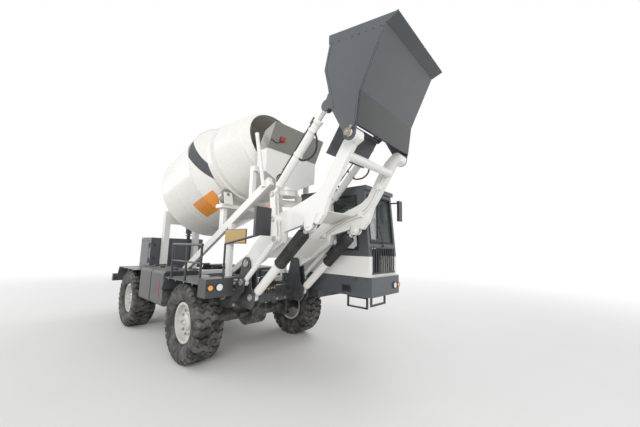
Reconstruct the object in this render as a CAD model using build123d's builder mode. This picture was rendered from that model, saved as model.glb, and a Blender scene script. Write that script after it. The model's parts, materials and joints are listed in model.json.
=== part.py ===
from build123d import *
from math import cos, hypot, radians, sin
import os

os.makedirs("parts", exist_ok=True)

# Self-loading concrete mixer, in millimetres: X forward, Y to its left, Z up, ground at Z = 0.
# The origin is on the ground below the middle of the whole machine.
# A side view point is (distance ahead of the front axle, height above the ground).

# Running clearances
PIN_FIT = 0.05
EYE_GAP = 1.0
OPEN_PIN_FIT = 1.0
RUN_GAP = 6.0
SEAT_GAP = 0.3

# Whole machine
FRONT_AXLE_X = 452.0
WHEELBASE = 2550.0
TRACK = 2000.0

# Wheels and tyres
TYRE_R = 537.5
TYRE_W = 410.0
TYRE_SHOULDER = 60.0
RIM_R = 254.0
RIM_FLANGE = 22.0
RIM_WALL = 12.0
RIM_DISC_OUT = 70.0
RIM_DISC_T = 16.0
HUB_R = 105.0
HUB_CAP_R = 62.0
HUB_CAP_H = 55.0

# Axles, knuckles and steering
AXLE_TUBE_R = 90.0
DIFF_R = 205.0
DIFF_HALF = 150.0
KINGPIN_Y = 740.0
KINGPIN_R = 38.0
FORK_HALF_H = 150.0
FORK_T = 34.0
FORK_HALF_X = 62.0
KNUCKLE_R = 60.0
SPINDLE_R = 70.0
SPINDLE_FLANGE_R = 120.0
SPINDLE_FLANGE_T = 24.0
STUB_R = 40.0
STUB_LENGTH = 45.0

# Chassis rails
RAIL_Y = 380.0
RAIL_W = 120.0
RAIL_BOTTOM = 800.0
RAIL_TOP = 1020.0
RAIL_FRONT = 660.0
RAIL_REAR = -3900.0
CROSS_W = 110.0
PAD_HALF_X = 120.0

# Boom, side view
BOOM_Y = -260.0
ARM_Y = 440.0
ARM_T = 60.0
BOOM_PIVOT = (870.0, 1390.0)
BUCKET_PIN = (2570.0, 2725.0)
LIFT_BASE = (1000.0, 965.0)
LIFT_EYE = (1975.0, 1860.0)
LINK_BASE = (910.0, 1155.0)
ROCKER_PIVOT = (1470.0, 1945.0)
ROCKER_TOP = (1435.0, 2250.0)
TILT_EYE = (2264.0, 3108.0)
ROCKER_Y = 530.0
PIN_R = 40.0
BOSS_R = 72.0
ARM_OUTLINE = [
    (800, 1440), (907, 1567), (1030, 1688), (1452, 2020), (1760, 2095), (1941, 2158), (2075, 2211),
    (2173, 2287), (2317, 2535), (2430, 2705), (2535, 2790), (2630, 2760), (2640, 2680), (2560, 2640),
    (2484, 2523), (2374, 2334), (2246, 2139), (2182, 1964), (2100, 1870), (1985, 1895), (1575, 1795),
    (1548, 1665), (1139, 1421), (930, 1320), (820, 1330),
]
LUG_NOTCH_R = 85.0
LUG_CHEEK_T = 17.0
LUG_R = 62.0
CROSS_TUBE = (2462.0, 2560.0)
CROSS_TUBE_R = 48.0

# Stand plates that carry boom, links and lift cylinders
STAND_T = 20.0
STAND_OUTLINE = [
    (660, 820), (1010, 820), (1075, 890), (1080, 1010), (1005, 1090), (950, 1420), (900, 1470),
    (840, 1470), (780, 1420), (720, 1180), (660, 1040),
]
STAND_OUTER_OUTLINE = [(780, 900), (960, 1040), (980, 1180), (930, 1230), (860, 1220), (780, 1120)]
STAND_WEB_X = 750.0

# Cylinders: radius of barrel, rod and eye, and places along the cylinder from its base pin
LIFT_BARREL_R = 56.0
LIFT_ROD_R = 30.0
LIFT_EYE_R = 48.0
LIFT_EYE_W = 50.0
LIFT_NECK = 125.0
LIFT_BORE_START = 145.0
LIFT_BARREL_END = 685.0
LIFT_ROD_START = 640.0
BELLOWS_START = 650.0
BELLOWS_END_GAP = 128.0
BELLOWS_R = 76.0
BELLOWS_VALLEY_R = 64.0
BELLOWS_BORE_R = 60.0
BELLOWS_RIBS = 17
TILT_BARREL_R = 47.0
TILT_ROD_R = 25.0
TILT_EYE_R = 40.0
TILT_EYE_W = 32.0
TILT_NECK = 120.0
TILT_BARREL_END = 1030.0
TILT_ROD_START = 620.0
LINK_TUBE_R = 33.0
LINK_EYE_R = 50.0

# Rocker plates
ROCKER_GAP = 34.0
ROCKER_CHEEK_T = 14.0
ROCKER_HALF_W = 46.0
ROCKER_PIN_R = 32.0

# Bucket
BUCKET_HALF = 565.0
BUCKET_T = 16.0
BUCKET_SKIN = 12.0
BUCKET_BACK = [(2345, 3030), (2282, 3330), (2235, 3515), (2300, 3790)]
BUCKET_SHOULDER = (2530.0, 2690.0)
BUCKET_LIP = (2970.0, 3680.0)
BUCKET_FOLD = (2700.0, 3120.0)
BUCKET_HEEL = (2655.0, 2790.0)
EDGE_BACK = (2300.0, 3890.0)
EDGE_FRONT = (3090.0, 3720.0)
EDGE_T = 22.0
EAR_R = 62.0
GATE_HALF = 372.0
GATE_T = 18.0
GATE_LENGTH = 385.0
GATE_TILT = 236.0
GATE_HINGE_R = 18.0
GATE_DROP = 42.0
GATE_LUG_R = 32.0
GATE_LUG_T = 16.0

# Drum, in distances along its axis from the front edge of the race ring's cone
DRUM_TILT = 15.0
DRUM_RING = (-200.0, 3190.0)
DRUM_PROFILE = [
    (-2900, 300), (-2780, 400), (-1750, 955), (-560, 955), (-270, 770), (-40, 770), (0, 780),
    (490, 640), (530, 626), (560, 626), (680, 548),
]
DRUM_SHELL = 12.0
RACE_FROM = -215.0
RACE_TO = -95.0
RACE_R = 805.0
ROLLER_R = 110.0
ROLLER_W = 105.0
ROLLER_ANGLE = 36.0
ROLLER_PIN_R = 28.0

# Drum drive and cradle
REDUCER_R = 205.0
REDUCER_FROM = -2925.0
REDUCER_TO = -3190.0
MOTOR_R = 95.0
MOTOR_TO = -3370.0
CRADLE_Y = 560.0
CRADLE_W = 60.0
CRADLE_DEPTH = 120.0
CRADLE_LOW = (-1640.0, 1033.0)
CRADLE_SLOPE = 0.55
CRADLE_HIGH_X = {-1: 1060.0, 1: 640.0}
CRADLE_POST_X = 120.0
CRADLE_POST_W = 100.0
CRADLE_SILL_H = 75.0
HOPPER_POST_X = (590.0, 670.0)
HOPPER_POST_TOP = 2720.0
ROLLER_BEAM_H = 60.0
ROLLER_BRACKET_T = 16.0
ROLLER_BRACKET_GAP = 12.0
HOPPER_RAM_R = 28.0
PEDESTAL_X = -3150.0
PEDESTAL_W = 150.0

# Hopper and discharge chute
HOPPER_HALF = 515.0
HOPPER_T = 8.0
HOPPER_SIDE = [(650, 2700), (868, 2700), (880, 3050), (1060, 3410), (820, 3330), (650, 3080)]
HOPPER_V = 165.0
OUTLET_HALF = 150.0
CHUTE_PIVOT = (760.0, 0.0)
CHUTE_TOP = 2425.0
CHUTE_RING_R = 168.0
CHUTE_RING_T = 10.0
CHUTE_LENGTH = 430.0
CHUTE_HALF_W = 145.0
CHUTE_T = 6.0

# Cab
CAB_IN = 390.0
CAB_OUT = 1180.0
CAB_REAR = 700.0
CAB_FRONT = 2050.0
CAB_TOP_FRONT = 1960.0
CAB_WALL = 45.0
SKIRT_BOTTOM = 970.0
SKIRT_TOP = 1235.0
BELT_TOP = 1516.0
ROOF_Z = 2460.0
ROOF_T = 60.0
ROOF_LIP = 30.0
ROOF_REAR = 690.0
SKIRT_FRONT = 2092.0
DECK_FRONT = 1150.0
GLASS_T = 6.0
DOOR_REAR = 1010.0
DOOR_FRONT = 1790.0
DOOR_GAP = 5.0
HINGE_PIN_R = 7.0
HINGE_WALL = 5.0
HINGE_H = 110.0
HINGE_LEAF_H = 26.0
CAB_HINGE = (1012.0, 1192.0)
CAB_HINGE_Z = (1380.0, 2200.0)
HOOD_HINGE_Z = (1220.0, 1580.0)
HOOD_HINGE = (-3362.0, -632.0)

# Engine end
ENGINE_X = (-3880.0, -3300.0)
ENGINE_HALF = 290.0
ENGINE_Z = (760.0, 1500.0)
HOOD_X = (-3970.0, -3270.0)
HOOD_HALF = 620.0
HOOD_Z = (1035.0, 1760.0)
HOOD_T = 12.0
BUMPER_REAR = -3990.0
BUMPER_HALF = 1150.0
TOW_OUT = 70.0
TOW_Z = 780.0
TOW_T = 30.0
TOW_HOLE_R = 17.0

# Side tanks and fenders
TANK_FENDER_GAP = 180.0
TANK_SPLIT = 30.0
TANK_IN = 620.0
TANK_OUT = 1190.0
TANK_BOTTOM = 640.0
TANK_TOP = 1180.0
TANK_CORNER_R = 50.0
FENDER_Z = 1115.0
FENDER_T = 8.0
FENDER_IN = 600.0
FENDER_OUT = 1235.0
FENDER_HALF = 540.0
SIDE_FROM = FENDER_HALF + TANK_FENDER_GAP - WHEELBASE
SIDE_TO = -FENDER_HALF - TANK_FENDER_GAP
SIDE_MIDDLE = (SIDE_FROM + SIDE_TO) / 2
FUEL_X = (SIDE_FROM, SIDE_MIDDLE - TANK_SPLIT / 2)
OIL_X = (SIDE_MIDDLE + TANK_SPLIT / 2, SIDE_TO)
TANKS = ((-1, FUEL_X), (-1, OIL_X), (1, (SIDE_FROM, SIDE_TO)))
LAMP_BOX_X = (560.0, 760.0)
LAMP_BOX_Y = (-1235.0, -860.0)
LAMP_BOX_Z = (970.0, 1200.0)

SIDES = (-1, 1)


def side(y):
    """Plane of a side view at this Y: sketch X is forward, sketch Y is up."""
    return Plane(origin=(FRONT_AXLE_X, y, 0), x_dir=(1, 0, 0), z_dir=(0, -1, 0))


def level(z):
    """Plane of a top view at this height: sketch X is forward, sketch Y is left."""
    return Plane(origin=(FRONT_AXLE_X, 0, z), x_dir=(1, 0, 0), z_dir=(0, 0, 1))


def face(x):
    """Plane of a front view at this distance ahead of the axle: sketch X is left, Y is up."""
    return Plane(origin=(FRONT_AXLE_X + x, 0, 0), x_dir=(0, 1, 0), z_dir=(1, 0, 0))


def slab(points, y, width, mode=Mode.ADD):
    """A plate with a side view outline, centred on this Y."""
    with BuildSketch(side(y)) as outline:
        Polygon(*points, align=None)
    extrude(outline.sketch, amount=width / 2, both=True, mode=mode)


def disc(point, radius, y, width, mode=Mode.ADD):
    """A round along Y, centred on this Y."""
    with BuildSketch(side(y)) as outline:
        with Locations(point):
            Circle(radius)
    extrude(outline.sketch, amount=width / 2, both=True, mode=mode)


def block(x, y, z, mode=Mode.ADD):
    """A box from three (from, to) pairs, X counted from the front axle."""
    with BuildSketch(level(z[0])) as outline:
        with Locations(((x[0] + x[1]) / 2, (y[0] + y[1]) / 2)):
            Rectangle(abs(x[1] - x[0]), abs(y[1] - y[0]))
    extrude(outline.sketch, amount=z[1] - z[0], mode=mode)


def along(start, end, from_, to, radius, y, mode=Mode.ADD):
    """A round bar on the line from start to end, between two distances from start."""
    length = hypot(end[0] - start[0], end[1] - start[1])
    ux = (end[0] - start[0]) / length
    uz = (end[1] - start[1]) / length
    origin = (FRONT_AXLE_X + start[0] + ux * from_, y, start[1] + uz * from_)
    with BuildSketch(Plane(origin=origin, x_dir=(0, 1, 0), z_dir=(ux, 0, uz))) as outline:
        Circle(radius)
    extrude(outline.sketch, amount=to - from_, mode=mode)


def bar(start, end, depth, y, width, from_=0.0, to=None, mode=Mode.ADD):
    """A flat bar on the line from start to end, between two distances from start."""
    length = hypot(end[0] - start[0], end[1] - start[1])
    stop = length if to is None else to
    ux = (end[0] - start[0]) / length
    uz = (end[1] - start[1]) / length
    half = depth / 2
    first = (start[0] + ux * from_, start[1] + uz * from_)
    last = (start[0] + ux * stop, start[1] + uz * stop)
    corners = [
        (first[0] - uz * half, first[1] + ux * half),
        (first[0] + uz * half, first[1] - ux * half),
        (last[0] + uz * half, last[1] - ux * half),
        (last[0] - uz * half, last[1] + ux * half),
    ]
    slab(corners, y, width, mode)


def pipe(start, end, radius):
    """A straight round tube between two points in space, X counted from the front axle."""
    a = Vector(*start) + Vector(FRONT_AXLE_X, 0, 0)
    b = Vector(*end) + Vector(FRONT_AXLE_X, 0, 0)
    with BuildSketch(Plane(origin=a, z_dir=b - a)) as outline:
        Circle(radius)
    extrude(outline.sketch, amount=(b - a).length)


def hinge_pin(x, y, z, leaf_x, leaf_y):
    """An upright hinge pin of a door, joined to it by a leaf above and below the knuckle."""
    with BuildSketch(level(z - HINGE_H / 2)) as outline:
        with Locations((x, y)):
            Circle(HINGE_PIN_R)
    extrude(outline.sketch, amount=HINGE_H)
    for low in (z - HINGE_H / 2, z + HINGE_H / 2 - HINGE_LEAF_H):
        block(leaf_x, leaf_y, (low, low + HINGE_LEAF_H))


def hinge_knuckle(x, y, z, leaf_x, leaf_y):
    """The knuckle that holds a door's hinge pin, with its leaf to the frame."""
    half = HINGE_H / 2 - HINGE_LEAF_H - EYE_GAP
    with BuildSketch(level(z - half)) as outline:
        with Locations((x, y)):
            Circle(HINGE_PIN_R + HINGE_WALL)
    extrude(outline.sketch, amount=2 * half)
    block(leaf_x, leaf_y, (z - half, z + half))
    with BuildSketch(level(z - half)) as outline:
        with Locations((x, y)):
            Circle(HINGE_PIN_R + PIN_FIT)
    extrude(outline.sketch, amount=2 * half, mode=Mode.SUBTRACT)


def drum_point(along_axis, up=0.0):
    """Side view point at this distance along the drum's axis and this far above it."""
    tilt = radians(DRUM_TILT)
    x = DRUM_RING[0] + along_axis * cos(tilt) - up * sin(tilt)
    z = DRUM_RING[1] + along_axis * sin(tilt) + up * cos(tilt)
    return (x, z)


def drum_plane(along_axis=0.0):
    """Side view plane tilted with the drum: sketch X runs along its axis."""
    x, z = drum_point(along_axis)
    tilt = radians(DRUM_TILT)
    return Plane(origin=(FRONT_AXLE_X + x, 0, z), x_dir=(cos(tilt), 0, sin(tilt)), z_dir=(0, -1, 0))


def turned(profile):
    """Turn a drum profile of (distance, radius) points about the drum's axis."""
    plane = drum_plane()
    with BuildSketch(plane) as outline:
        Polygon(*profile, align=None)
    revolve(outline.sketch, axis=Axis(plane.origin, plane.x_dir))


def drum_disc(from_, to, radius, mode=Mode.ADD):
    """A round on the drum's axis between two distances along it."""
    x, z = drum_point(from_)
    tilt = radians(DRUM_TILT)
    with BuildSketch(Plane(origin=(FRONT_AXLE_X + x, 0, z), z_dir=(cos(tilt), 0, sin(tilt)))) as outline:
        Circle(radius)
    extrude(outline.sketch, amount=to - from_, mode=mode)


ROCKER_FOOT = (
    LINK_BASE[0] + ROCKER_PIVOT[0] - BOOM_PIVOT[0],
    LINK_BASE[1] + ROCKER_PIVOT[1] - BOOM_PIVOT[1],
)
LIFT_LENGTH = hypot(LIFT_EYE[0] - LIFT_BASE[0], LIFT_EYE[1] - LIFT_BASE[1])
TILT_LENGTH = hypot(TILT_EYE[0] - ROCKER_TOP[0], TILT_EYE[1] - ROCKER_TOP[1])
LINK_LENGTH = hypot(ROCKER_FOOT[0] - LINK_BASE[0], ROCKER_FOOT[1] - LINK_BASE[1])
ARM_OUT = ARM_Y + ARM_T / 2
ARM_IN = ARM_Y - ARM_T / 2
STAND_IN_Y = ARM_IN - RUN_GAP - STAND_T / 2
STAND_MID_Y = ARM_OUT + RUN_GAP + STAND_T / 2
STAND_MID_FACE = STAND_MID_Y + STAND_T / 2
LINK_EYE_OUT = 2 * ROCKER_Y - STAND_MID_FACE
STAND_OUT_Y = LINK_EYE_OUT + STAND_T / 2
AXLES = {"front": 0.0, "rear": -WHEELBASE}

# Chassis frame: two rails, cross members and axle pads
with BuildPart() as chassis_frame:
    rail_in = RAIL_Y - RAIL_W / 2
    rail_out = RAIL_Y + RAIL_W / 2
    for s in SIDES:
        block((RAIL_REAR, RAIL_FRONT), sorted((s * rail_in, s * rail_out)), (RAIL_BOTTOM, RAIL_TOP))
        for axle_x in AXLES.values():
            pad_z = TYRE_R + AXLE_TUBE_R
            pad_x = (axle_x - PAD_HALF_X, axle_x + PAD_HALF_X)
            block(pad_x, sorted((s * rail_in, s * rail_out)), (pad_z, RAIL_BOTTOM))
    for x in (-2950.0, -2050.0, -1250.0, -500.0):
        block((x - CROSS_W / 2, x + CROSS_W / 2), (-rail_in, rail_in), (RAIL_BOTTOM + 20, RAIL_TOP - 20))
    for x in (ENGINE_X[0] + 60, ENGINE_X[1] - 140):
        for s in SIDES:
            block((x, x + 80), sorted((s * ENGINE_HALF, s * rail_in)), (900, 960))
    block((BUMPER_REAR, RAIL_REAR), (-BUMPER_HALF, BUMPER_HALF), (740, 900))
    block((BUMPER_REAR, RAIL_REAR), (-rail_out, rail_out), (900, RAIL_TOP))
    block((RAIL_FRONT, DECK_FRONT), (CAB_IN - 6, CAB_OUT - 60), (SKIRT_BOTTOM - 110, SKIRT_BOTTOM))
    block((BUMPER_REAR - TOW_OUT, BUMPER_REAR), (-60, 60), (TOW_Z, TOW_Z + TOW_T))
    with BuildSketch(level(TOW_Z)):
        with Locations((BUMPER_REAR - TOW_OUT + 30, 0)):
            Circle(TOW_HOLE_R)
    extrude(amount=TOW_T, mode=Mode.SUBTRACT)
chassis_frame.part.label = "chassis_frame"
export_step(chassis_frame.part, "parts/chassis_frame.step")

# Boom stand: a cross box ahead of the rails, with plates on both sides of each arm
stand_y = BOOM_Y - STAND_OUT_Y - STAND_T / 2
with BuildPart() as boom_stand:
    block((RAIL_FRONT, STAND_WEB_X), (stand_y, CAB_IN - 12), (820, 1040))
    block(LAMP_BOX_X, LAMP_BOX_Y, LAMP_BOX_Z)
    block((STAND_WEB_X - 60, LAMP_BOX_X[1]), (LAMP_BOX_Y[1], stand_y), (LAMP_BOX_Z[0], 1030))
    for s in SIDES:
        for plate_y in (STAND_IN_Y, STAND_MID_Y):
            slab(STAND_OUTLINE, BOOM_Y + s * plate_y, STAND_T)
        slab(STAND_OUTER_OUTLINE, BOOM_Y + s * STAND_OUT_Y, STAND_T)
        outer_web_y = sorted((BOOM_Y + s * STAND_MID_Y, BOOM_Y + s * (STAND_OUT_Y + STAND_T / 2)))
        block((RAIL_FRONT, 800), outer_web_y, (900, 1040))
        pin_y = BOOM_Y + s * (STAND_IN_Y + STAND_MID_Y) / 2
        pin_w = STAND_MID_Y - STAND_IN_Y + STAND_T
        disc(BOOM_PIVOT, PIN_R, pin_y, pin_w)
        disc(LIFT_BASE, PIN_R, pin_y, pin_w)
        link_pin_y = BOOM_Y + s * (STAND_MID_Y + STAND_OUT_Y) / 2
        disc(LINK_BASE, ROCKER_PIN_R, link_pin_y, STAND_OUT_Y - STAND_MID_Y + STAND_T)
boom_stand.part.label = "boom_stand"
export_step(boom_stand.part, "parts/boom_stand.step")

# Axle housings with their kingpin forks
with BuildPart() as axles:
    for axle_x in AXLES.values():
        disc((axle_x, TYRE_R), AXLE_TUBE_R, 0, 2 * (KINGPIN_Y - KNUCKLE_R - 20))
        disc((axle_x, TYRE_R), DIFF_R, 0, DIFF_HALF * 2)
        for s in SIDES:
            fork_in = KINGPIN_Y - KNUCKLE_R - 50
            fork_x = (axle_x - FORK_HALF_X, axle_x + FORK_HALF_X)
            web_y = sorted((s * fork_in, s * (fork_in + 40)))
            block(fork_x, web_y, (TYRE_R - FORK_HALF_H, TYRE_R + FORK_HALF_H))
            arm_y = sorted((s * fork_in, s * (KINGPIN_Y + 48)))
            for z in (TYRE_R - FORK_HALF_H, TYRE_R + FORK_HALF_H - FORK_T):
                block(fork_x, arm_y, (z, z + FORK_T))
            with BuildSketch(level(TYRE_R - FORK_HALF_H)):
                with Locations((axle_x, s * KINGPIN_Y)):
                    Circle(KINGPIN_R)
            extrude(amount=2 * FORK_HALF_H)
        block((axle_x + 95, axle_x + 150), (-330, 330), (TYRE_R - 30, TYRE_R + 25))
axles.part.label = "axles"
export_step(axles.part, "parts/axles.step")

# Steering knuckles, tyres and rims
RIM_OUT_Y = TRACK / 2 + TYRE_W / 2 - 60
RIM_IN_Y = TRACK / 2 - TYRE_W / 2 + 60
DISC_Y = TRACK / 2 + RIM_DISC_OUT
for name, axle_x in AXLES.items():
    for hand, s in (("right", -1), ("left", 1)):
        with BuildPart() as knuckle:
            knuckle_h = 2 * (FORK_HALF_H - FORK_T - EYE_GAP)
            with BuildSketch(level(TYRE_R - knuckle_h / 2)):
                with Locations((axle_x, s * KINGPIN_Y)):
                    Circle(KNUCKLE_R)
            extrude(amount=knuckle_h)
            flange_y = DISC_Y - RIM_DISC_T / 2 - SPINDLE_FLANGE_T - EYE_GAP
            spindle_y = (KINGPIN_Y + flange_y) / 2
            disc((axle_x, TYRE_R), SPINDLE_R, s * spindle_y, flange_y - KINGPIN_Y)
            disc((axle_x, TYRE_R), SPINDLE_FLANGE_R, s * (flange_y + SPINDLE_FLANGE_T / 2), SPINDLE_FLANGE_T)
            stub_y = s * (flange_y + SPINDLE_FLANGE_T / 2 + STUB_LENGTH / 2)
            disc((axle_x, TYRE_R), STUB_R, stub_y, STUB_LENGTH + SPINDLE_FLANGE_T)
            with BuildSketch(level(TYRE_R - knuckle_h / 2)):
                with Locations((axle_x, s * KINGPIN_Y)):
                    Circle(KINGPIN_R + PIN_FIT)
            extrude(amount=knuckle_h, mode=Mode.SUBTRACT)
        knuckle.part.label = f"{name}_{hand}_knuckle"
        export_step(knuckle.part, f"parts/{name}_{hand}_knuckle.step")

        wheel_plane = Plane(
            origin=(FRONT_AXLE_X + axle_x, s * TRACK / 2, TYRE_R), x_dir=(0, s, 0), z_dir=(1, 0, 0)
        )
        wheel_axis = Axis(wheel_plane.origin, wheel_plane.x_dir)
        half_w = TYRE_W / 2
        with BuildPart() as rim:
            half_rim = half_w - 60
            with BuildSketch(wheel_plane):
                Polygon(
                    (-half_rim, RIM_R + RIM_FLANGE), (-half_rim, RIM_R - RIM_WALL),
                    (half_rim, RIM_R - RIM_WALL), (half_rim, RIM_R + RIM_FLANGE),
                    (half_rim - 14, RIM_R + RIM_FLANGE), (half_rim - 14, RIM_R),
                    (-half_rim + 14, RIM_R), (-half_rim + 14, RIM_R + RIM_FLANGE), align=None,
                )
                Polygon(
                    (RIM_DISC_OUT - RIM_DISC_T / 2, 0), (RIM_DISC_OUT + RIM_DISC_T / 2, 0),
                    (RIM_DISC_OUT + RIM_DISC_T / 2, RIM_R - 2), (RIM_DISC_OUT - RIM_DISC_T / 2, RIM_R - 2),
                    align=None,
                )
                Polygon(
                    (RIM_DISC_OUT, 0), (RIM_DISC_OUT + HUB_CAP_H, 0),
                    (RIM_DISC_OUT + HUB_CAP_H, HUB_CAP_R), (RIM_DISC_OUT + 30, HUB_R),
                    (RIM_DISC_OUT, HUB_R), align=None,
                )
            revolve(axis=wheel_axis)
            bore_y = s * (flange_y + SPINDLE_FLANGE_T + (STUB_LENGTH + EYE_GAP) / 2)
            disc((axle_x, TYRE_R), STUB_R + PIN_FIT, bore_y, STUB_LENGTH + EYE_GAP, Mode.SUBTRACT)
        rim.part.label = f"{name}_{hand}_rim"
        export_step(rim.part, f"parts/{name}_{hand}_rim.step")

        with BuildPart() as tyre:
            bead = half_rim - 14 - SEAT_GAP
            with BuildSketch(wheel_plane):
                Polygon(
                    (-bead, RIM_R + SEAT_GAP), (bead, RIM_R + SEAT_GAP),
                    (bead, RIM_R + RIM_FLANGE + 6), (half_w - 12, RIM_R + 80),
                    (half_w, TYRE_R - 130), (half_w - 6, TYRE_R - TYRE_SHOULDER),
                    (half_w - 34, TYRE_R), (-half_w + 34, TYRE_R),
                    (-half_w + 6, TYRE_R - TYRE_SHOULDER), (-half_w, TYRE_R - 130),
                    (-half_w + 12, RIM_R + 80), (-bead, RIM_R + RIM_FLANGE + 6), align=None,
                )
            revolve(axis=wheel_axis)
        tyre.part.label = f"{name}_{hand}_tyre"
        export_step(tyre.part, f"parts/{name}_{hand}_tyre.step")

# Boom: two gull-shaped arms, a cross tube near the tips and cross plates low down
with BuildPart() as boom:
    for s in SIDES:
        arm_y = BOOM_Y + s * ARM_Y
        slab(ARM_OUTLINE, arm_y, ARM_T)
        disc(BOOM_PIVOT, BOSS_R, arm_y, ARM_T + 2 * (RUN_GAP - EYE_GAP))
        disc(LIFT_EYE, LUG_NOTCH_R, arm_y, ARM_T, Mode.SUBTRACT)
        for t in SIDES:
            cheek_y = arm_y + t * (LIFT_EYE_W / 2 + 2 * EYE_GAP + LUG_CHEEK_T / 2)
            disc(LIFT_EYE, LUG_R, cheek_y, LUG_CHEEK_T)
            slab([(1925, 1860), (2035, 1860), (2110, 1990), (1910, 1970)], cheek_y, LUG_CHEEK_T)
            disc(LIFT_EYE, 28, cheek_y + t * LUG_CHEEK_T, LUG_CHEEK_T)
        tip_in = ARM_OUT - ARM_T
        tip_out = BUCKET_HALF - BUCKET_T - EYE_GAP
        disc(BUCKET_PIN, BOSS_R, BOOM_Y + s * (tip_in + tip_out) / 2, tip_out - tip_in)
        disc(BUCKET_PIN, PIN_R, BOOM_Y + s * (tip_out + 15), BUCKET_T + 40)
        pin_from = ARM_OUT - ARM_T / 2
        pin_to = ROCKER_Y + ROCKER_GAP / 2 + ROCKER_CHEEK_T + 10
        disc(ROCKER_PIVOT, ROCKER_PIN_R, BOOM_Y + s * (pin_from + pin_to) / 2, pin_to - pin_from)
    disc(CROSS_TUBE, CROSS_TUBE_R, BOOM_Y, 2 * ARM_Y)
    cross_span = 2 * ARM_Y
    bar((1560, 1960), (1930, 2060), 14, BOOM_Y, cross_span)
    bar((1180, 1480), (1500, 1735), 14, BOOM_Y, cross_span)
    for s in SIDES:
        arm_y = BOOM_Y + s * ARM_Y
        disc(BOOM_PIVOT, PIN_R + PIN_FIT, arm_y, ARM_T * 2, Mode.SUBTRACT)
boom.part.label = "boom"
export_step(boom.part, "parts/boom.step")

# Levelling rockers: twin cheek plates on each arm, upright as the boom moves
with BuildPart() as rockers:
    for s in SIDES:
        for t in SIDES:
            cheek_y = BOOM_Y + s * (ROCKER_Y + t * (ROCKER_GAP + ROCKER_CHEEK_T) / 2)
            bar(ROCKER_FOOT, ROCKER_PIVOT, 2 * ROCKER_HALF_W, cheek_y, ROCKER_CHEEK_T)
            bar(ROCKER_PIVOT, ROCKER_TOP, 2 * ROCKER_HALF_W, cheek_y, ROCKER_CHEEK_T)
            for point in (ROCKER_FOOT, ROCKER_PIVOT, ROCKER_TOP):
                disc(point, ROCKER_HALF_W, cheek_y, ROCKER_CHEEK_T)
        boss_from = ARM_OUT + EYE_GAP
        boss_to = ROCKER_Y + ROCKER_GAP / 2 + ROCKER_CHEEK_T
        boss_y = BOOM_Y + s * (boss_from + boss_to) / 2
        disc(ROCKER_PIVOT, ROCKER_HALF_W + 10, boss_y, boss_to - boss_from)
        disc(ROCKER_PIVOT, ROCKER_PIN_R + PIN_FIT, boss_y, boss_to - boss_from, Mode.SUBTRACT)
        for point, radius in ((ROCKER_FOOT, 22), (ROCKER_TOP, 25)):
            disc(point, radius, BOOM_Y + s * ROCKER_Y, ROCKER_GAP + 2 * ROCKER_CHEEK_T + 12)
rockers.part.label = "rockers"
export_step(rockers.part, "parts/rockers.step")

# Lower links: tubes from the stand to the rockers' feet
with BuildPart() as lower_links:
    for s in SIDES:
        y = BOOM_Y + s * ROCKER_Y
        base_w = LINK_EYE_OUT - STAND_MID_FACE - 2 * EYE_GAP
        disc(LINK_BASE, LINK_EYE_R, y, base_w)
        along(LINK_BASE, ROCKER_FOOT, 20, LINK_LENGTH - 110, LINK_TUBE_R, y)
        bar(LINK_BASE, ROCKER_FOOT, 50, y, TILT_EYE_W, LINK_LENGTH - 130)
        disc(ROCKER_FOOT, TILT_EYE_R, y, TILT_EYE_W)
        disc(ROCKER_FOOT, 22 + OPEN_PIN_FIT, y, TILT_EYE_W, Mode.SUBTRACT)
        disc(LINK_BASE, ROCKER_PIN_R + PIN_FIT, y, base_w, Mode.SUBTRACT)
lower_links.part.label = "lower_links"
export_step(lower_links.part, "parts/lower_links.step")

# Lift cylinders
with BuildPart() as lift_barrels:
    for s in SIDES:
        y = BOOM_Y + s * ARM_Y
        eye_w = ARM_T + 2 * (RUN_GAP - EYE_GAP)
        disc(LIFT_BASE, LIFT_EYE_R + 8, y, eye_w)
        bar(LIFT_BASE, LIFT_EYE, 70, y, ARM_T - 10, 0, LIFT_NECK + 10)
        along(LIFT_BASE, LIFT_EYE, LIFT_NECK, LIFT_BARREL_END, LIFT_BARREL_R, y)
        along(LIFT_BASE, LIFT_EYE, LIFT_BORE_START, LIFT_BARREL_END, LIFT_ROD_R + PIN_FIT, y, Mode.SUBTRACT)
        disc(LIFT_BASE, PIN_R + PIN_FIT, y, eye_w, Mode.SUBTRACT)
lift_barrels.part.label = "lift_barrels"
export_step(lift_barrels.part, "parts/lift_barrels.step")

with BuildPart() as lift_rods:
    for s in SIDES:
        y = BOOM_Y + s * ARM_Y
        along(LIFT_BASE, LIFT_EYE, LIFT_ROD_START, LIFT_LENGTH - LUG_R - 20, LIFT_ROD_R, y)
        bar(LIFT_BASE, LIFT_EYE, 56, y, LIFT_EYE_W, LIFT_LENGTH - LUG_R - 30)
        disc(LIFT_EYE, LIFT_EYE_R, y, LIFT_EYE_W)
lift_rods.part.label = "lift_rods"
export_step(lift_rods.part, "parts/lift_rods.step")

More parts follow.
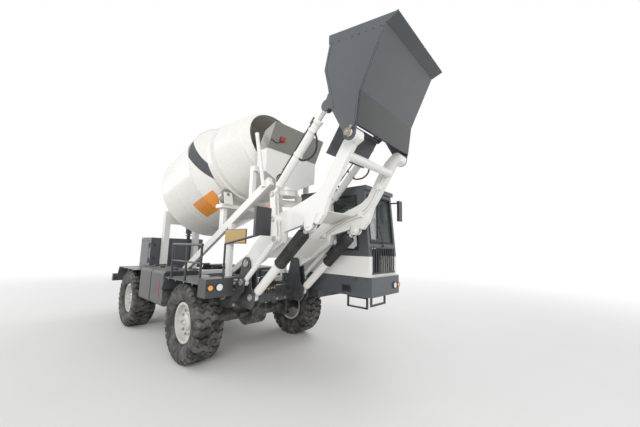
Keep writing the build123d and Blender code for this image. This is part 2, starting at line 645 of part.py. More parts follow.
# Rubber bellows over the lift rods: a ribbed sleeve that runs over the barrel
with BuildPart() as lift_bellows:
    bellows_end = LIFT_LENGTH - BELLOWS_END_GAP
    pitch = (bellows_end - BELLOWS_START) / BELLOWS_RIBS
    ribs = []
    for i in range(BELLOWS_RIBS):
        ribs.append((BELLOWS_START + i * pitch, BELLOWS_VALLEY_R))
        ribs.append((BELLOWS_START + (i + 0.5) * pitch, BELLOWS_R))
    cap_r = LIFT_ROD_R + SEAT_GAP
    sleeve = ribs + [
        (bellows_end, BELLOWS_VALLEY_R), (bellows_end, cap_r), (bellows_end - 12, cap_r),
        (bellows_end - 12, BELLOWS_BORE_R), (BELLOWS_START, BELLOWS_BORE_R),
    ]
    ux = (LIFT_EYE[0] - LIFT_BASE[0]) / LIFT_LENGTH
    uz = (LIFT_EYE[1] - LIFT_BASE[1]) / LIFT_LENGTH
    for s in SIDES:
        origin = (FRONT_AXLE_X + LIFT_BASE[0], BOOM_Y + s * ARM_Y, LIFT_BASE[1])
        plane = Plane(origin=origin, x_dir=(ux, 0, uz), z_dir=(0, -1, 0))
        with BuildSketch(plane):
            Polygon(*sleeve, align=None)
        revolve(axis=Axis(plane.origin, plane.x_dir))
lift_bellows.part.label = "lift_bellows"
export_step(lift_bellows.part, "parts/lift_bellows.step")

# Tilt cylinders
with BuildPart() as tilt_barrels:
    for s in SIDES:
        y = BOOM_Y + s * ROCKER_Y
        disc(ROCKER_TOP, TILT_EYE_R, y, TILT_EYE_W)
        bar(ROCKER_TOP, TILT_EYE, 50, y, TILT_EYE_W, 0, TILT_NECK + 10)
        along(ROCKER_TOP, TILT_EYE, TILT_NECK, TILT_BARREL_END, TILT_BARREL_R, y)
        along(ROCKER_TOP, TILT_EYE, TILT_BARREL_END - 45, TILT_BARREL_END, TILT_BARREL_R + 7, y)
        along(ROCKER_TOP, TILT_EYE, TILT_NECK + 40, TILT_BARREL_END, TILT_ROD_R + PIN_FIT, y, Mode.SUBTRACT)
        disc(ROCKER_TOP, 25 + PIN_FIT, y, TILT_EYE_W, Mode.SUBTRACT)
tilt_barrels.part.label = "tilt_barrels"
export_step(tilt_barrels.part, "parts/tilt_barrels.step")

with BuildPart() as tilt_rods:
    for s in SIDES:
        y = BOOM_Y + s * ROCKER_Y
        along(ROCKER_TOP, TILT_EYE, TILT_ROD_START, TILT_LENGTH - 75, TILT_ROD_R, y)
        bar(ROCKER_TOP, TILT_EYE, 50, y, TILT_EYE_W, TILT_LENGTH - 80)
        disc(TILT_EYE, TILT_EYE_R, y, TILT_EYE_W)
tilt_rods.part.label = "tilt_rods"
export_step(tilt_rods.part, "parts/tilt_rods.step")

gate_hinge = (BUCKET_BACK[0][0] - 6, BUCKET_BACK[0][1] - GATE_DROP)

# Bucket: side plates with hinge lobes and ears, floor in two folds, back in three
side_y = BUCKET_HALF - BUCKET_T / 2
skin_span = 2 * (BUCKET_HALF - BUCKET_T / 2)
with BuildPart() as bucket:
    for s in SIDES:
        slab(BUCKET_BACK + [BUCKET_LIP, BUCKET_FOLD, BUCKET_HEEL], BOOM_Y + s * side_y, BUCKET_T)
        lobe = [BUCKET_BACK[0], BUCKET_HEEL, (2630, 2690), BUCKET_SHOULDER]
        slab(lobe, BOOM_Y + s * side_y, BUCKET_T)
        disc(BUCKET_PIN, BOSS_R, BOOM_Y + s * side_y, BUCKET_T)
        ear_in_y = ROCKER_Y - TILT_EYE_W / 2 - 2 * EYE_GAP - BUCKET_T / 2
        for ear_y in (side_y, ear_in_y):
            disc(TILT_EYE, EAR_R, BOOM_Y + s * ear_y, BUCKET_T)
            slab([(2228, 3080), (2340, 3050), (2316, 3200), (2295, 3230)], BOOM_Y + s * ear_y, BUCKET_T)
    for first, last in zip(BUCKET_BACK[:-1], BUCKET_BACK[1:]):
        bar(first, last, BUCKET_SKIN, BOOM_Y, skin_span)
    for first, last in ((BUCKET_HEEL, BUCKET_FOLD), (BUCKET_FOLD, BUCKET_LIP)):
        bar(first, last, BUCKET_SKIN, BOOM_Y, skin_span)
    for s in SIDES:
        lug_y = BOOM_Y + s * (GATE_HALF + RUN_GAP + GATE_LUG_T / 2)
        disc(gate_hinge, GATE_LUG_R, lug_y, GATE_LUG_T)
        bar(gate_hinge, BUCKET_BACK[0], 2 * GATE_LUG_R, lug_y, GATE_LUG_T)
        disc(gate_hinge, GATE_HINGE_R + PIN_FIT, lug_y, GATE_LUG_T, Mode.SUBTRACT)
    back_top = BUCKET_BACK[-1]
    edge = [back_top, BUCKET_LIP, EDGE_FRONT, EDGE_BACK]
    for s in SIDES:
        slab(edge, BOOM_Y + s * side_y, BUCKET_T)
        disc(BUCKET_PIN, PIN_R + PIN_FIT, BOOM_Y + s * side_y, BUCKET_T, Mode.SUBTRACT)
    bar(BUCKET_LIP, EDGE_FRONT, EDGE_T, BOOM_Y, 2 * BUCKET_HALF)
    bar(back_top, EDGE_BACK, EDGE_T, BOOM_Y, 2 * BUCKET_HALF)
bucket.part.label = "bucket"
export_step(bucket.part, "parts/bucket.step")

# Bucket gate: a flap hung behind the bottom opening, between the arms
gate_dir = radians(GATE_TILT)
gate_end = (gate_hinge[0] + GATE_LENGTH * cos(gate_dir), gate_hinge[1] + GATE_LENGTH * sin(gate_dir))
with BuildPart() as bucket_gate:
    bar(gate_hinge, gate_end, GATE_T, BOOM_Y, 2 * GATE_HALF)
    disc(gate_hinge, GATE_HINGE_R, BOOM_Y, 2 * (GATE_HALF + RUN_GAP + GATE_LUG_T + 4))
bucket_gate.part.label = "bucket_gate"
export_step(bucket_gate.part, "parts/bucket_gate.step")

# Drum: double cone shell with a race ring and an open mouth
with BuildPart() as drum_shell:
    inner = [(s, r - DRUM_SHELL) for s, r in DRUM_PROFILE[1:]]
    inner[0] = (DRUM_PROFILE[1][0] + DRUM_SHELL, DRUM_PROFILE[1][1] - DRUM_SHELL)
    closed_end = [(DRUM_PROFILE[0][0] + 2 * DRUM_SHELL, DRUM_PROFILE[0][1] - DRUM_SHELL)]
    outline = [(DRUM_PROFILE[0][0], 0)] + DRUM_PROFILE + inner[::-1] + closed_end
    turned(outline + [(DRUM_PROFILE[0][0] + 2 * DRUM_SHELL, 0)])
drum_shell.part.label = "drum_shell"
export_step(drum_shell.part, "parts/drum_shell.step")

with BuildPart() as drum_race:
    seat_r = 770 + SEAT_GAP
    turned([(RACE_FROM, seat_r), (RACE_TO, seat_r), (RACE_TO, RACE_R), (RACE_FROM, RACE_R)])
drum_race.part.label = "drum_race"
export_step(drum_race.part, "parts/drum_race.step")

# Drum drive: reducer and hydraulic motor, held by the rear pedestal
with BuildPart() as drum_drive:
    drum_disc(REDUCER_TO, REDUCER_FROM, REDUCER_R)
    drum_disc(MOTOR_TO, REDUCER_TO + 5, MOTOR_R)
drum_drive.part.label = "drum_drive"
export_step(drum_drive.part, "parts/drum_drive.step")

# Cradle: inclined beams, front posts, roller beam with brackets and rear pedestal
tilt = radians(DRUM_TILT)
race_mid = (RACE_FROM + RACE_TO) / 2
roller_reach = RACE_R + ROLLER_R + SEAT_GAP
roller_y = roller_reach * sin(radians(ROLLER_ANGLE))
roller_up = -roller_reach * cos(radians(ROLLER_ANGLE))
roller_at = drum_point(race_mid, roller_up)
with BuildPart() as drum_cradle:
    beam_h = roller_at[1] - ROLLER_R - 95
    sill_y = CRADLE_Y + CRADLE_W / 2
    for s in SIDES:
        high_x = CRADLE_HIGH_X[s]
        high = (high_x, CRADLE_LOW[1] + CRADLE_SLOPE * (high_x - CRADLE_LOW[0]))
        bar(CRADLE_LOW, high, CRADLE_DEPTH, s * CRADLE_Y, CRADLE_W)
        post_y = sorted((s * (CRADLE_Y - CRADLE_W / 2), s * sill_y))
        post_x = (CRADLE_POST_X - CRADLE_POST_W / 2, CRADLE_POST_X + CRADLE_POST_W / 2)
        post_top = CRADLE_LOW[1] + CRADLE_SLOPE * (CRADLE_POST_X - CRADLE_LOW[0])
        block(post_x, post_y, (RAIL_TOP, post_top))
        hopper_low = CRADLE_LOW[1] + CRADLE_SLOPE * (HOPPER_POST_X[0] - CRADLE_LOW[0])
        block(HOPPER_POST_X, post_y, (hopper_low, HOPPER_POST_TOP))
        beam_low = CRADLE_LOW[1] + CRADLE_SLOPE * (roller_at[0] - CRADLE_LOW[0])
        block((roller_at[0] - 60, roller_at[0] + 60), post_y, (beam_low, beam_h + 10))
        for offset in (-ROLLER_W / 2 - ROLLER_BRACKET_GAP - ROLLER_BRACKET_T, ROLLER_W / 2 + ROLLER_BRACKET_GAP):
            origin = (FRONT_AXLE_X + roller_at[0] + offset * cos(tilt), s * roller_y,
                      roller_at[1] + offset * sin(tilt))
            with BuildSketch(Plane(origin=origin, x_dir=(0, 1, 0), z_dir=(cos(tilt), 0, sin(tilt)))):
                with Locations((0, -70)):
                    Rectangle(150, 215)
            extrude(amount=ROLLER_BRACKET_T)
            with BuildSketch(Plane(origin=origin, x_dir=(0, 1, 0), z_dir=(cos(tilt), 0, sin(tilt)))):
                Circle(ROLLER_PIN_R + PIN_FIT)
            extrude(amount=ROLLER_BRACKET_T, mode=Mode.SUBTRACT)
        pedestal_y = sorted((s * 300, s * 420))
        pedestal_x = (PEDESTAL_X - PEDESTAL_W / 2, PEDESTAL_X + PEDESTAL_W / 2)
        block(pedestal_x, pedestal_y, (RAIL_TOP, 2180))
    block(post_x, (-sill_y, sill_y), (RAIL_TOP, RAIL_TOP + CRADLE_SILL_H))
    block((CRADLE_LOW[0] - 60, CRADLE_LOW[0] + 80), (-sill_y, sill_y), (RAIL_TOP, RAIL_TOP + CRADLE_SILL_H))
    block((roller_at[0] - 100, roller_at[0] + 100), (-roller_y - 110, roller_y + 110),
          (beam_h, beam_h + ROLLER_BEAM_H))
    block(pedestal_x, (-420, 420), (2100, 2400))
    drum_disc(REDUCER_TO - 400, REDUCER_FROM + 400, REDUCER_R + SEAT_GAP, Mode.SUBTRACT)
    pipe((955, -CRADLE_Y - 40, 2440), (730, -CRADLE_Y - 40, 3280), HOPPER_RAM_R)
drum_cradle.part.label = "drum_cradle"
export_step(drum_cradle.part, "parts/drum_cradle.step")

for hand, s in (("right", -1), ("left", 1)):
    with BuildPart() as roller:
        start = (FRONT_AXLE_X + roller_at[0] - ROLLER_W / 2 * cos(tilt), s * roller_y,
                 roller_at[1] - ROLLER_W / 2 * sin(tilt))
        plane = Plane(origin=start, z_dir=(cos(tilt), 0, sin(tilt)))
        with BuildSketch(plane):
            Circle(ROLLER_R)
        extrude(amount=ROLLER_W)
        pin_over = ROLLER_BRACKET_GAP + ROLLER_BRACKET_T + 4
        with BuildSketch(plane.offset(-pin_over)):
            Circle(ROLLER_PIN_R)
        extrude(amount=ROLLER_W + 2 * pin_over)
    roller.part.label = f"drum_roller_{hand}"
    export_step(roller.part, f"parts/drum_roller_{hand}.step")

# Hopper: side walls, front wall with a flare, and a V floor with an outlet
with BuildPart() as hopper:
    for s in SIDES:
        slab(HOPPER_SIDE, s * (HOPPER_HALF - HOPPER_T / 2), HOPPER_T)
    span = 2 * HOPPER_HALF
    bar(HOPPER_SIDE[1], HOPPER_SIDE[2], HOPPER_T, 0, span)
    bar(HOPPER_SIDE[2], HOPPER_SIDE[3], HOPPER_T, 0, span)
    floor_z = HOPPER_SIDE[0][1]
    front_x = HOPPER_SIDE[1][0]
    with BuildSketch(face(front_x - HOPPER_T / 2)):
        Polygon((-HOPPER_HALF, floor_z), (-OUTLET_HALF, floor_z - HOPPER_V),
                (OUTLET_HALF, floor_z - HOPPER_V), (HOPPER_HALF, floor_z), align=None)
    extrude(amount=HOPPER_T)
    for s in SIDES:
        with BuildSketch(face(HOPPER_SIDE[0][0])):
            Polygon((s * HOPPER_HALF, floor_z), (s * OUTLET_HALF, floor_z - HOPPER_V),
                    (s * OUTLET_HALF, floor_z - HOPPER_V + HOPPER_T),
                    (s * HOPPER_HALF, floor_z + HOPPER_T), align=None)
        extrude(amount=front_x - HOPPER_SIDE[0][0])
        bracket_y = sorted((s * (HOPPER_HALF - HOPPER_T), s * (CRADLE_Y + CRADLE_W / 2)))
        block((HOPPER_POST_X[0], HOPPER_POST_X[1] + 40), bracket_y, (HOPPER_POST_TOP, HOPPER_POST_TOP + 80))
    with BuildSketch(level(floor_z - HOPPER_V - 50)):
        with Locations(CHUTE_PIVOT):
            Circle(CHUTE_RING_R + PIN_FIT + CHUTE_RING_T)
            Circle(CHUTE_RING_R + PIN_FIT, mode=Mode.SUBTRACT)
    extrude(amount=55)
hopper.part.label = "hopper"
export_step(hopper.part, "parts/hopper.step")

# Discharge chute: a trough below the outlet
with BuildPart() as discharge_chute:
    trough = Plane(
        origin=(FRONT_AXLE_X + CHUTE_PIVOT[0], CHUTE_PIVOT[1], CHUTE_TOP),
        x_dir=(0.5, 0.866, 0), z_dir=(0.8, -0.46, -0.38),
    )
    with BuildSketch(trough):
        Rectangle(2 * CHUTE_HALF_W, 150)
        with Locations((0, CHUTE_T)):
            Rectangle(2 * (CHUTE_HALF_W - CHUTE_T), 150, mode=Mode.SUBTRACT)
    extrude(amount=CHUTE_LENGTH)
    with BuildSketch(level(CHUTE_TOP - 20)):
        with Locations(CHUTE_PIVOT):
            Circle(CHUTE_RING_R)
            Circle(CHUTE_RING_R - CHUTE_RING_T, mode=Mode.SUBTRACT)
    extrude(amount=105)
discharge_chute.part.label = "discharge_chute"
export_step(discharge_chute.part, "parts/discharge_chute.step")

# Cab: dark skirt, white belt, pillars and walls, roof, glass, door, seat and controls
cab_y = (CAB_IN, CAB_OUT)
wall_in = (CAB_IN + CAB_WALL, CAB_OUT - CAB_WALL)
with BuildPart() as cab_skirt:
    block((CAB_REAR, SKIRT_FRONT), cab_y, (SKIRT_BOTTOM, SKIRT_TOP))
    block((CAB_REAR + CAB_WALL, SKIRT_FRONT - CAB_WALL), wall_in, (SKIRT_BOTTOM + CAB_WALL, SKIRT_TOP),
          Mode.SUBTRACT)
    block((DOOR_REAR, DOOR_FRONT), (CAB_OUT - CAB_WALL, CAB_OUT), (SKIRT_BOTTOM + CAB_WALL, SKIRT_TOP),
          Mode.SUBTRACT)
cab_skirt.part.label = "cab_skirt"
export_step(cab_skirt.part, "parts/cab_skirt.step")

with BuildPart() as cab_belt:
    block((CAB_REAR, CAB_FRONT), cab_y, (SKIRT_TOP, BELT_TOP))
    block((CAB_REAR + CAB_WALL, CAB_FRONT - CAB_WALL), wall_in, (SKIRT_TOP, BELT_TOP), Mode.SUBTRACT)
    block((DOOR_REAR, DOOR_FRONT), (CAB_OUT - CAB_WALL, CAB_OUT), (SKIRT_TOP, BELT_TOP), Mode.SUBTRACT)
    block((CAB_FRONT - CAB_WALL, CAB_FRONT), (CAB_IN + 90, CAB_OUT - 90), (SKIRT_TOP + 40, BELT_TOP),
          Mode.SUBTRACT)
    hinge_knuckle(*CAB_HINGE, CAB_HINGE_Z[0], (DOOR_REAR - 40, CAB_HINGE[0]), (CAB_OUT, CAB_HINGE[1]))
cab_belt.part.label = "cab_belt"
export_step(cab_belt.part, "parts/cab_belt.step")

front_outline = [(CAB_REAR, BELT_TOP), (CAB_FRONT, BELT_TOP), (CAB_TOP_FRONT, ROOF_Z), (CAB_REAR, ROOF_Z)]
inner_outline = [
    (CAB_REAR + CAB_WALL, BELT_TOP), (CAB_FRONT - CAB_WALL, BELT_TOP),
    (CAB_TOP_FRONT - CAB_WALL, ROOF_Z), (CAB_REAR + CAB_WALL, ROOF_Z),
]
cab_mid = (CAB_IN + CAB_OUT) / 2
with BuildPart() as cab_upper:
    slab(front_outline, cab_mid, CAB_OUT - CAB_IN)
    slab(inner_outline, cab_mid, wall_in[1] - wall_in[0], Mode.SUBTRACT)
    block((DOOR_REAR, DOOR_FRONT), (CAB_OUT - CAB_WALL, CAB_OUT), (BELT_TOP, ROOF_Z - 40), Mode.SUBTRACT)
    slab([(860, 1600), (1880, 1600), (1830, 2390), (860, 2390)], CAB_IN + CAB_WALL / 2, CAB_WALL,
         Mode.SUBTRACT)
    block((CAB_FRONT - 200, CAB_FRONT + 50), (CAB_IN + 60, CAB_OUT - 60), (1700, 2400), Mode.SUBTRACT)
    block((CAB_REAR, CAB_REAR + CAB_WALL), (CAB_IN + 80, CAB_OUT - 80), (1600, 2390), Mode.SUBTRACT)
    block((CAB_FRONT - 200, CAB_FRONT + 50), (CAB_IN + 90, CAB_OUT - 90), (BELT_TOP, 1640), Mode.SUBTRACT)
    block((ROOF_REAR, CAB_TOP_FRONT + ROOF_LIP), (CAB_IN, CAB_OUT + 20), (ROOF_Z, ROOF_Z + ROOF_T))
    hinge_knuckle(*CAB_HINGE, CAB_HINGE_Z[1], (DOOR_REAR - 40, CAB_HINGE[0]), (CAB_OUT, CAB_HINGE[1]))
cab_upper.part.label = "cab_upper"
export_step(cab_upper.part, "parts/cab_upper.step")

with BuildPart() as cab_door:
    door_x = (DOOR_REAR + DOOR_GAP, DOOR_FRONT - DOOR_GAP)
    door_y = (CAB_OUT - CAB_WALL, CAB_OUT)
    block(door_x, door_y, (SKIRT_BOTTOM + CAB_WALL + DOOR_GAP, ROOF_Z - 40 - DOOR_GAP))
    block((door_x[0] + 70, door_x[1] - 70), door_y, (1600, 2350), Mode.SUBTRACT)
    for z in CAB_HINGE_Z:
        hinge_pin(*CAB_HINGE, z, (CAB_HINGE[0], door_x[0] + 40), (CAB_OUT, CAB_HINGE[1]))
cab_door.part.label = "cab_door"
export_step(cab_door.part, "parts/cab_door.step")

with BuildPart() as door_glass:
    glass_y = (CAB_OUT - CAB_WALL / 2 - GLASS_T / 2, CAB_OUT - CAB_WALL / 2 + GLASS_T / 2)
    block((door_x[0] + 70, door_x[1] - 70), glass_y, (1600, 2350))
door_glass.part.label = "door_glass"
export_step(door_glass.part, "parts/door_glass.step")

with BuildPart() as cab_glass:
    slab([(860, 1600), (1880, 1600), (1830, 2390), (860, 2390)], CAB_IN + CAB_WALL / 2, GLASS_T)
    block((CAB_REAR + 20, CAB_REAR + 20 + GLASS_T), (CAB_IN + 80, CAB_OUT - 80), (1600, 2390))
    lean = (CAB_FRONT - CAB_TOP_FRONT) / (ROOF_Z - BELT_TOP)
    low_x = CAB_FRONT - 24 - lean * (1700 - BELT_TOP)
    high_x = CAB_FRONT - 24 - lean * (2400 - BELT_TOP)
    bar((low_x, 1703), (high_x, 2397), GLASS_T, cab_mid, CAB_OUT - CAB_IN - 120)
cab_glass.part.label = "cab_glass"
export_step(cab_glass.part, "parts/cab_glass.step")

with BuildPart() as cab_interior:
    block((1020, 1420), (cab_mid - 210, cab_mid + 210), (SKIRT_BOTTOM + CAB_WALL, 1300))
    block((980, 1480), (cab_mid - 240, cab_mid + 240), (1300, 1420))
    bar((1010, 1420), (930, 2000), 100, cab_mid, 440)
    cab_floor = SKIRT_BOTTOM + CAB_WALL
    slab([(1845, cab_floor), (1915, cab_floor), (1775, 1645), (1705, 1645)], cab_mid, 90)
    with BuildSketch(Plane(origin=(FRONT_AXLE_X + 1735, cab_mid, 1650), z_dir=(-0.5, 0, 0.87))):
        Circle(190)
        Circle(165, mode=Mode.SUBTRACT)
        Rectangle(340, 30)
    extrude(amount=24)
cab_interior.part.label = "cab_interior"
export_step(cab_interior.part, "parts/cab_interior.step")

# Guard bars over the lower front window, and the step below the cab
GUARD_BARS = 10
with BuildPart() as cab_guard:
    guard_x = CAB_FRONT + 12
    pitch = (CAB_OUT - CAB_IN - 200) / (GUARD_BARS - 1)
    for z in (SKIRT_TOP + 50, 1640):
        block((CAB_FRONT, guard_x + 8), (CAB_IN + 80, CAB_OUT - 80), (z - 10, z + 10))
    for i in range(GUARD_BARS):
        y = CAB_IN + 100 + i * pitch
        with BuildSketch(level(SKIRT_TOP + 50)):
            with Locations((guard_x, y)):
                Circle(8)
        extrude(amount=1640 - SKIRT_TOP - 50)
cab_guard.part.label = "cab_guard"
export_step(cab_guard.part, "parts/cab_guard.step")

with BuildPart() as cab_step:
    step_y = CAB_OUT - 50
    for x in (1180, 1560):
        block((x - 14, x + 14), (step_y - 14, step_y + 14), (640, SKIRT_BOTTOM))
    for z in (640, 800):
        block((1180, 1560), (step_y - 14, step_y + 30), (z, z + 24))
    for y in (CAB_IN + 40, CAB_IN + 400):
        block((2048, 2072), (y - 12, y + 12), (850, SKIRT_BOTTOM))
    block((2048, 2072), (CAB_IN + 40, CAB_IN + 400), (850, 874))
cab_step.part.label = "cab_step"
export_step(cab_step.part, "parts/cab_step.step")

# Lamps: round and square lamps on the right box and on the cab's skirt
LAMPS = ((LAMP_BOX_X[1], -1180, 34), (LAMP_BOX_X[1], -1060, 44), (SKIRT_FRONT, 1140, 34), (SKIRT_FRONT, 1030, 44))
with BuildPart() as lamps:
    for x, y, radius in LAMPS:
        with BuildSketch(face(x)):
            with Locations((y, 1095)):
                Circle(radius)
        extrude(amount=18)
    for s in SIDES:
        block((BUMPER_REAR - 14, BUMPER_REAR), sorted((s * 900, s * 1100)), (785, 855))
lamps.part.label = "lamps"
export_step(lamps.part, "parts/lamps.step")

# Engine block and its hood
with BuildPart() as engine_block:
    block(ENGINE_X, (-ENGINE_HALF, ENGINE_HALF), ENGINE_Z)
engine_block.part.label = "engine_block"
export_step(engine_block.part, "parts/engine_block.step")

with BuildPart() as engine_hood:
    block(HOOD_X, (-HOOD_HALF, HOOD_HALF), HOOD_Z)
    block((HOOD_X[0] + HOOD_T, HOOD_X[1] - HOOD_T), (-HOOD_HALF + HOOD_T, HOOD_HALF - HOOD_T),
          (HOOD_Z[0], HOOD_Z[1] - HOOD_T), Mode.SUBTRACT)
    block((HOOD_X[0], HOOD_X[0] + HOOD_T), (-480, 480), (1120, 1640), Mode.SUBTRACT)
    block((HOOD_X[0] + 90, HOOD_X[1] - 90), (-HOOD_HALF, -HOOD_HALF + HOOD_T), (1110, 1680), Mode.SUBTRACT)
    for s in SIDES:
        block((HOOD_X[0] + 60, HOOD_X[1] - 60), sorted((s * 440, s * (HOOD_HALF - HOOD_T))),
              (HOOD_Z[0] - 15, HOOD_Z[0] + 10))
        block((HOOD_X[0] + 60, HOOD_X[1] - 60), sorted((s * 320, s * 440)), (RAIL_TOP, HOOD_Z[0] + 10))
    for i in range(13):
        z = 1135 + i * 40
        block((HOOD_X[0] + 1, HOOD_X[0] + HOOD_T - 1), (-490, 490), (z, z + 16))
    for z in HOOD_HINGE_Z:
        hinge_knuckle(*HOOD_HINGE, z, (HOOD_HINGE[0], HOOD_HINGE[0] + 40), (HOOD_HINGE[1], -HOOD_HALF))
engine_hood.part.label = "engine_hood"
export_step(engine_hood.part, "parts/engine_hood.step")

with BuildPart() as hood_door:
    door_x2 = (HOOD_X[0] + 90 + DOOR_GAP, HOOD_X[1] - 90 - DOOR_GAP)
    block(door_x2, (-HOOD_HALF, -HOOD_HALF + HOOD_T), (1110 + DOOR_GAP, 1680 - DOOR_GAP))
    for z in HOOD_HINGE_Z:
        hinge_pin(*HOOD_HINGE, z, (door_x2[1] - 40, HOOD_HINGE[0]), (HOOD_HINGE[1], -HOOD_HALF))
hood_door.part.label = "hood_door"
export_step(hood_door.part, "parts/hood_door.step")

with BuildPart() as exhaust:
    pipe((-3500, 330, HOOD_Z[1]), (-3500, 330, 2350), 45)
    pipe((-3500, 330, 1900), (-3500, 330, 2250), 75)
exhaust.part.label = "exhaust"
export_step(exhaust.part, "parts/exhaust.step")

# Tanks beside the rails: fuel and hydraulic oil on the right, water on the left
with BuildPart() as side_tanks:
    for s, x in TANKS:
        block(x, sorted((s * TANK_IN, s * TANK_OUT)), (TANK_BOTTOM, TANK_TOP))
    fillet(side_tanks.edges().filter_by(Axis.X), radius=TANK_CORNER_R)
    for s, x in TANKS:
        for strap_x in (x[0] + 60, x[1] - 140):
            block((strap_x, strap_x + 80), sorted((s * (RAIL_Y + RAIL_W / 2), s * TANK_IN)), (860, 960))
side_tanks.part.label = "side_tanks"
export_step(side_tanks.part, "parts/side_tanks.step")

# Fenders over the wheels, with brackets to the rails
with BuildPart() as fenders:
    for axle_x in AXLES.values():
        for s in SIDES:
            fender_y = sorted((s * FENDER_IN, s * FENDER_OUT))
            block((axle_x - FENDER_HALF, axle_x + FENDER_HALF), fender_y, (FENDER_Z, FENDER_Z + FENDER_T))
            mid_y = (fender_y[0] + fender_y[1]) / 2
            bar((axle_x - FENDER_HALF + 3, FENDER_Z + 4), (axle_x - FENDER_HALF - 110, FENDER_Z - 190),
                FENDER_T, mid_y, FENDER_OUT - FENDER_IN)
            for dx in (-300, 300):
                block((axle_x + dx - 30, axle_x + dx + 30), sorted((s * 400, s * (FENDER_IN + 40))),
                      (FENDER_Z + FENDER_T, FENDER_Z + FENDER_T + 40))
                block((axle_x + dx - 30, axle_x + dx + 30), sorted((s * 400, s * 440)),
                      (RAIL_TOP, FENDER_Z + FENDER_T + 40))
fenders.part.label = "fenders"
export_step(fenders.part, "parts/fenders.step")

# Handrail on the right platform, and mirrors
HANDRAIL_Y = -FENDER_OUT + 45
with BuildPart() as handrail:
    rail_z = 1620.0
    for x in (-420, 60, 500):
        pipe((x, HANDRAIL_Y, FENDER_Z + FENDER_T), (x, HANDRAIL_Y, rail_z), 16)
    pipe((-436, HANDRAIL_Y, rail_z), (516, HANDRAIL_Y, rail_z), 16)
    pipe((-420, HANDRAIL_Y, 1380), (500, HANDRAIL_Y, 1380), 12)
handrail.part.label = "handrail"
export_step(handrail.part, "parts/handrail.step")

with BuildPart() as mirrors:
    pipe((740, -1000, LAMP_BOX_Z[1]), (740, -1000, 1640), 14)
    pipe((740, -1000, 1640), (1520, -1000, 1760), 14)
    block((1500, 1540), (-1110, -900), (1740, 2060))
    block((1925, 1955), (CAB_OUT, CAB_OUT + 26), (2340, 2380))
    pipe((1935, CAB_OUT + 14, 2360), (2120, CAB_OUT + 30, 2360), 12)
    block((2100, 2135), (CAB_OUT - 60, CAB_OUT + 50), (2060, 2380))
mirrors.part.label = "mirrors"
export_step(mirrors.part, "parts/mirrors.step")
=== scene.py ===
"""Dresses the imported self-loading concrete mixer and sets up its stage.

It gives every solid its finish and adds tyre tread, bolts, welds, pipes and trim, then floor, light and camera.
The scene is in metres and in the frame of the CAD model: X forward, Y to the machine's left, Z up, ground at
Z = 0. Sizes of pieces are in millimetres, with X counted from the front axle; sizes in finishes are in metres.
"""

import json
import logging
from dataclasses import dataclass
from enum import Enum
from math import cos, pi, radians, sin, sqrt
from typing import Sequence, Union

import bmesh
import bpy
from mathutils import Matrix, Vector

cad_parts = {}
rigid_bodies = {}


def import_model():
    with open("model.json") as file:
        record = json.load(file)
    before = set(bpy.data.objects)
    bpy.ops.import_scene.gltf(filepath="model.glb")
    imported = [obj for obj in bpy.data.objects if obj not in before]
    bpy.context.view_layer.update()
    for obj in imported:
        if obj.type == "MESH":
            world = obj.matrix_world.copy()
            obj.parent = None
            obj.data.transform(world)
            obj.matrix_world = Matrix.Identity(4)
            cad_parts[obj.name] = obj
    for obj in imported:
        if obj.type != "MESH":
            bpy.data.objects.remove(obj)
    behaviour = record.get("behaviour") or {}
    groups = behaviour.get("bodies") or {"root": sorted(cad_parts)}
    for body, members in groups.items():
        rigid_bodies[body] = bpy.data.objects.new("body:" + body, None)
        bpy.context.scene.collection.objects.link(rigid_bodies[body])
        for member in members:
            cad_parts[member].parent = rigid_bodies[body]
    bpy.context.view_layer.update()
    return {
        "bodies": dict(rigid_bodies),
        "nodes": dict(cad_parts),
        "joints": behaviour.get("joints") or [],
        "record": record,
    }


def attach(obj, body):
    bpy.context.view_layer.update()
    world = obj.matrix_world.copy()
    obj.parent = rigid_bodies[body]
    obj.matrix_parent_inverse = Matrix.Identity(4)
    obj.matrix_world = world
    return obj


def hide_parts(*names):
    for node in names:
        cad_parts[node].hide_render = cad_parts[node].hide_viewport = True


LOG = logging.getLogger("mixer")
FRONT_AXLE_X = 0.452
DRUM_RING = (-200.0, 0.0, 3190.0)
DRUM_TILT = radians(15.0)
SIDES = (-1, 1)
OUT_X, OUT_Y, OUT_Z = Vector((1, 0, 0)), Vector((0, 1, 0)), Vector((0, 0, 1))
Point = Sequence[float]
Colour = tuple[float, float, float]


def at(x: float, y: float, z: float) -> Vector:
    """Turn millimetres counted from the front axle into metres in the row frame.

    Args:
        x: Distance ahead of the front axle.
        y: Distance to the machine's left.
        z: Height above the ground.

    Returns:
        The point in metres.
    """
    return Vector((FRONT_AXLE_X + x / 1000, y / 1000, z / 1000))


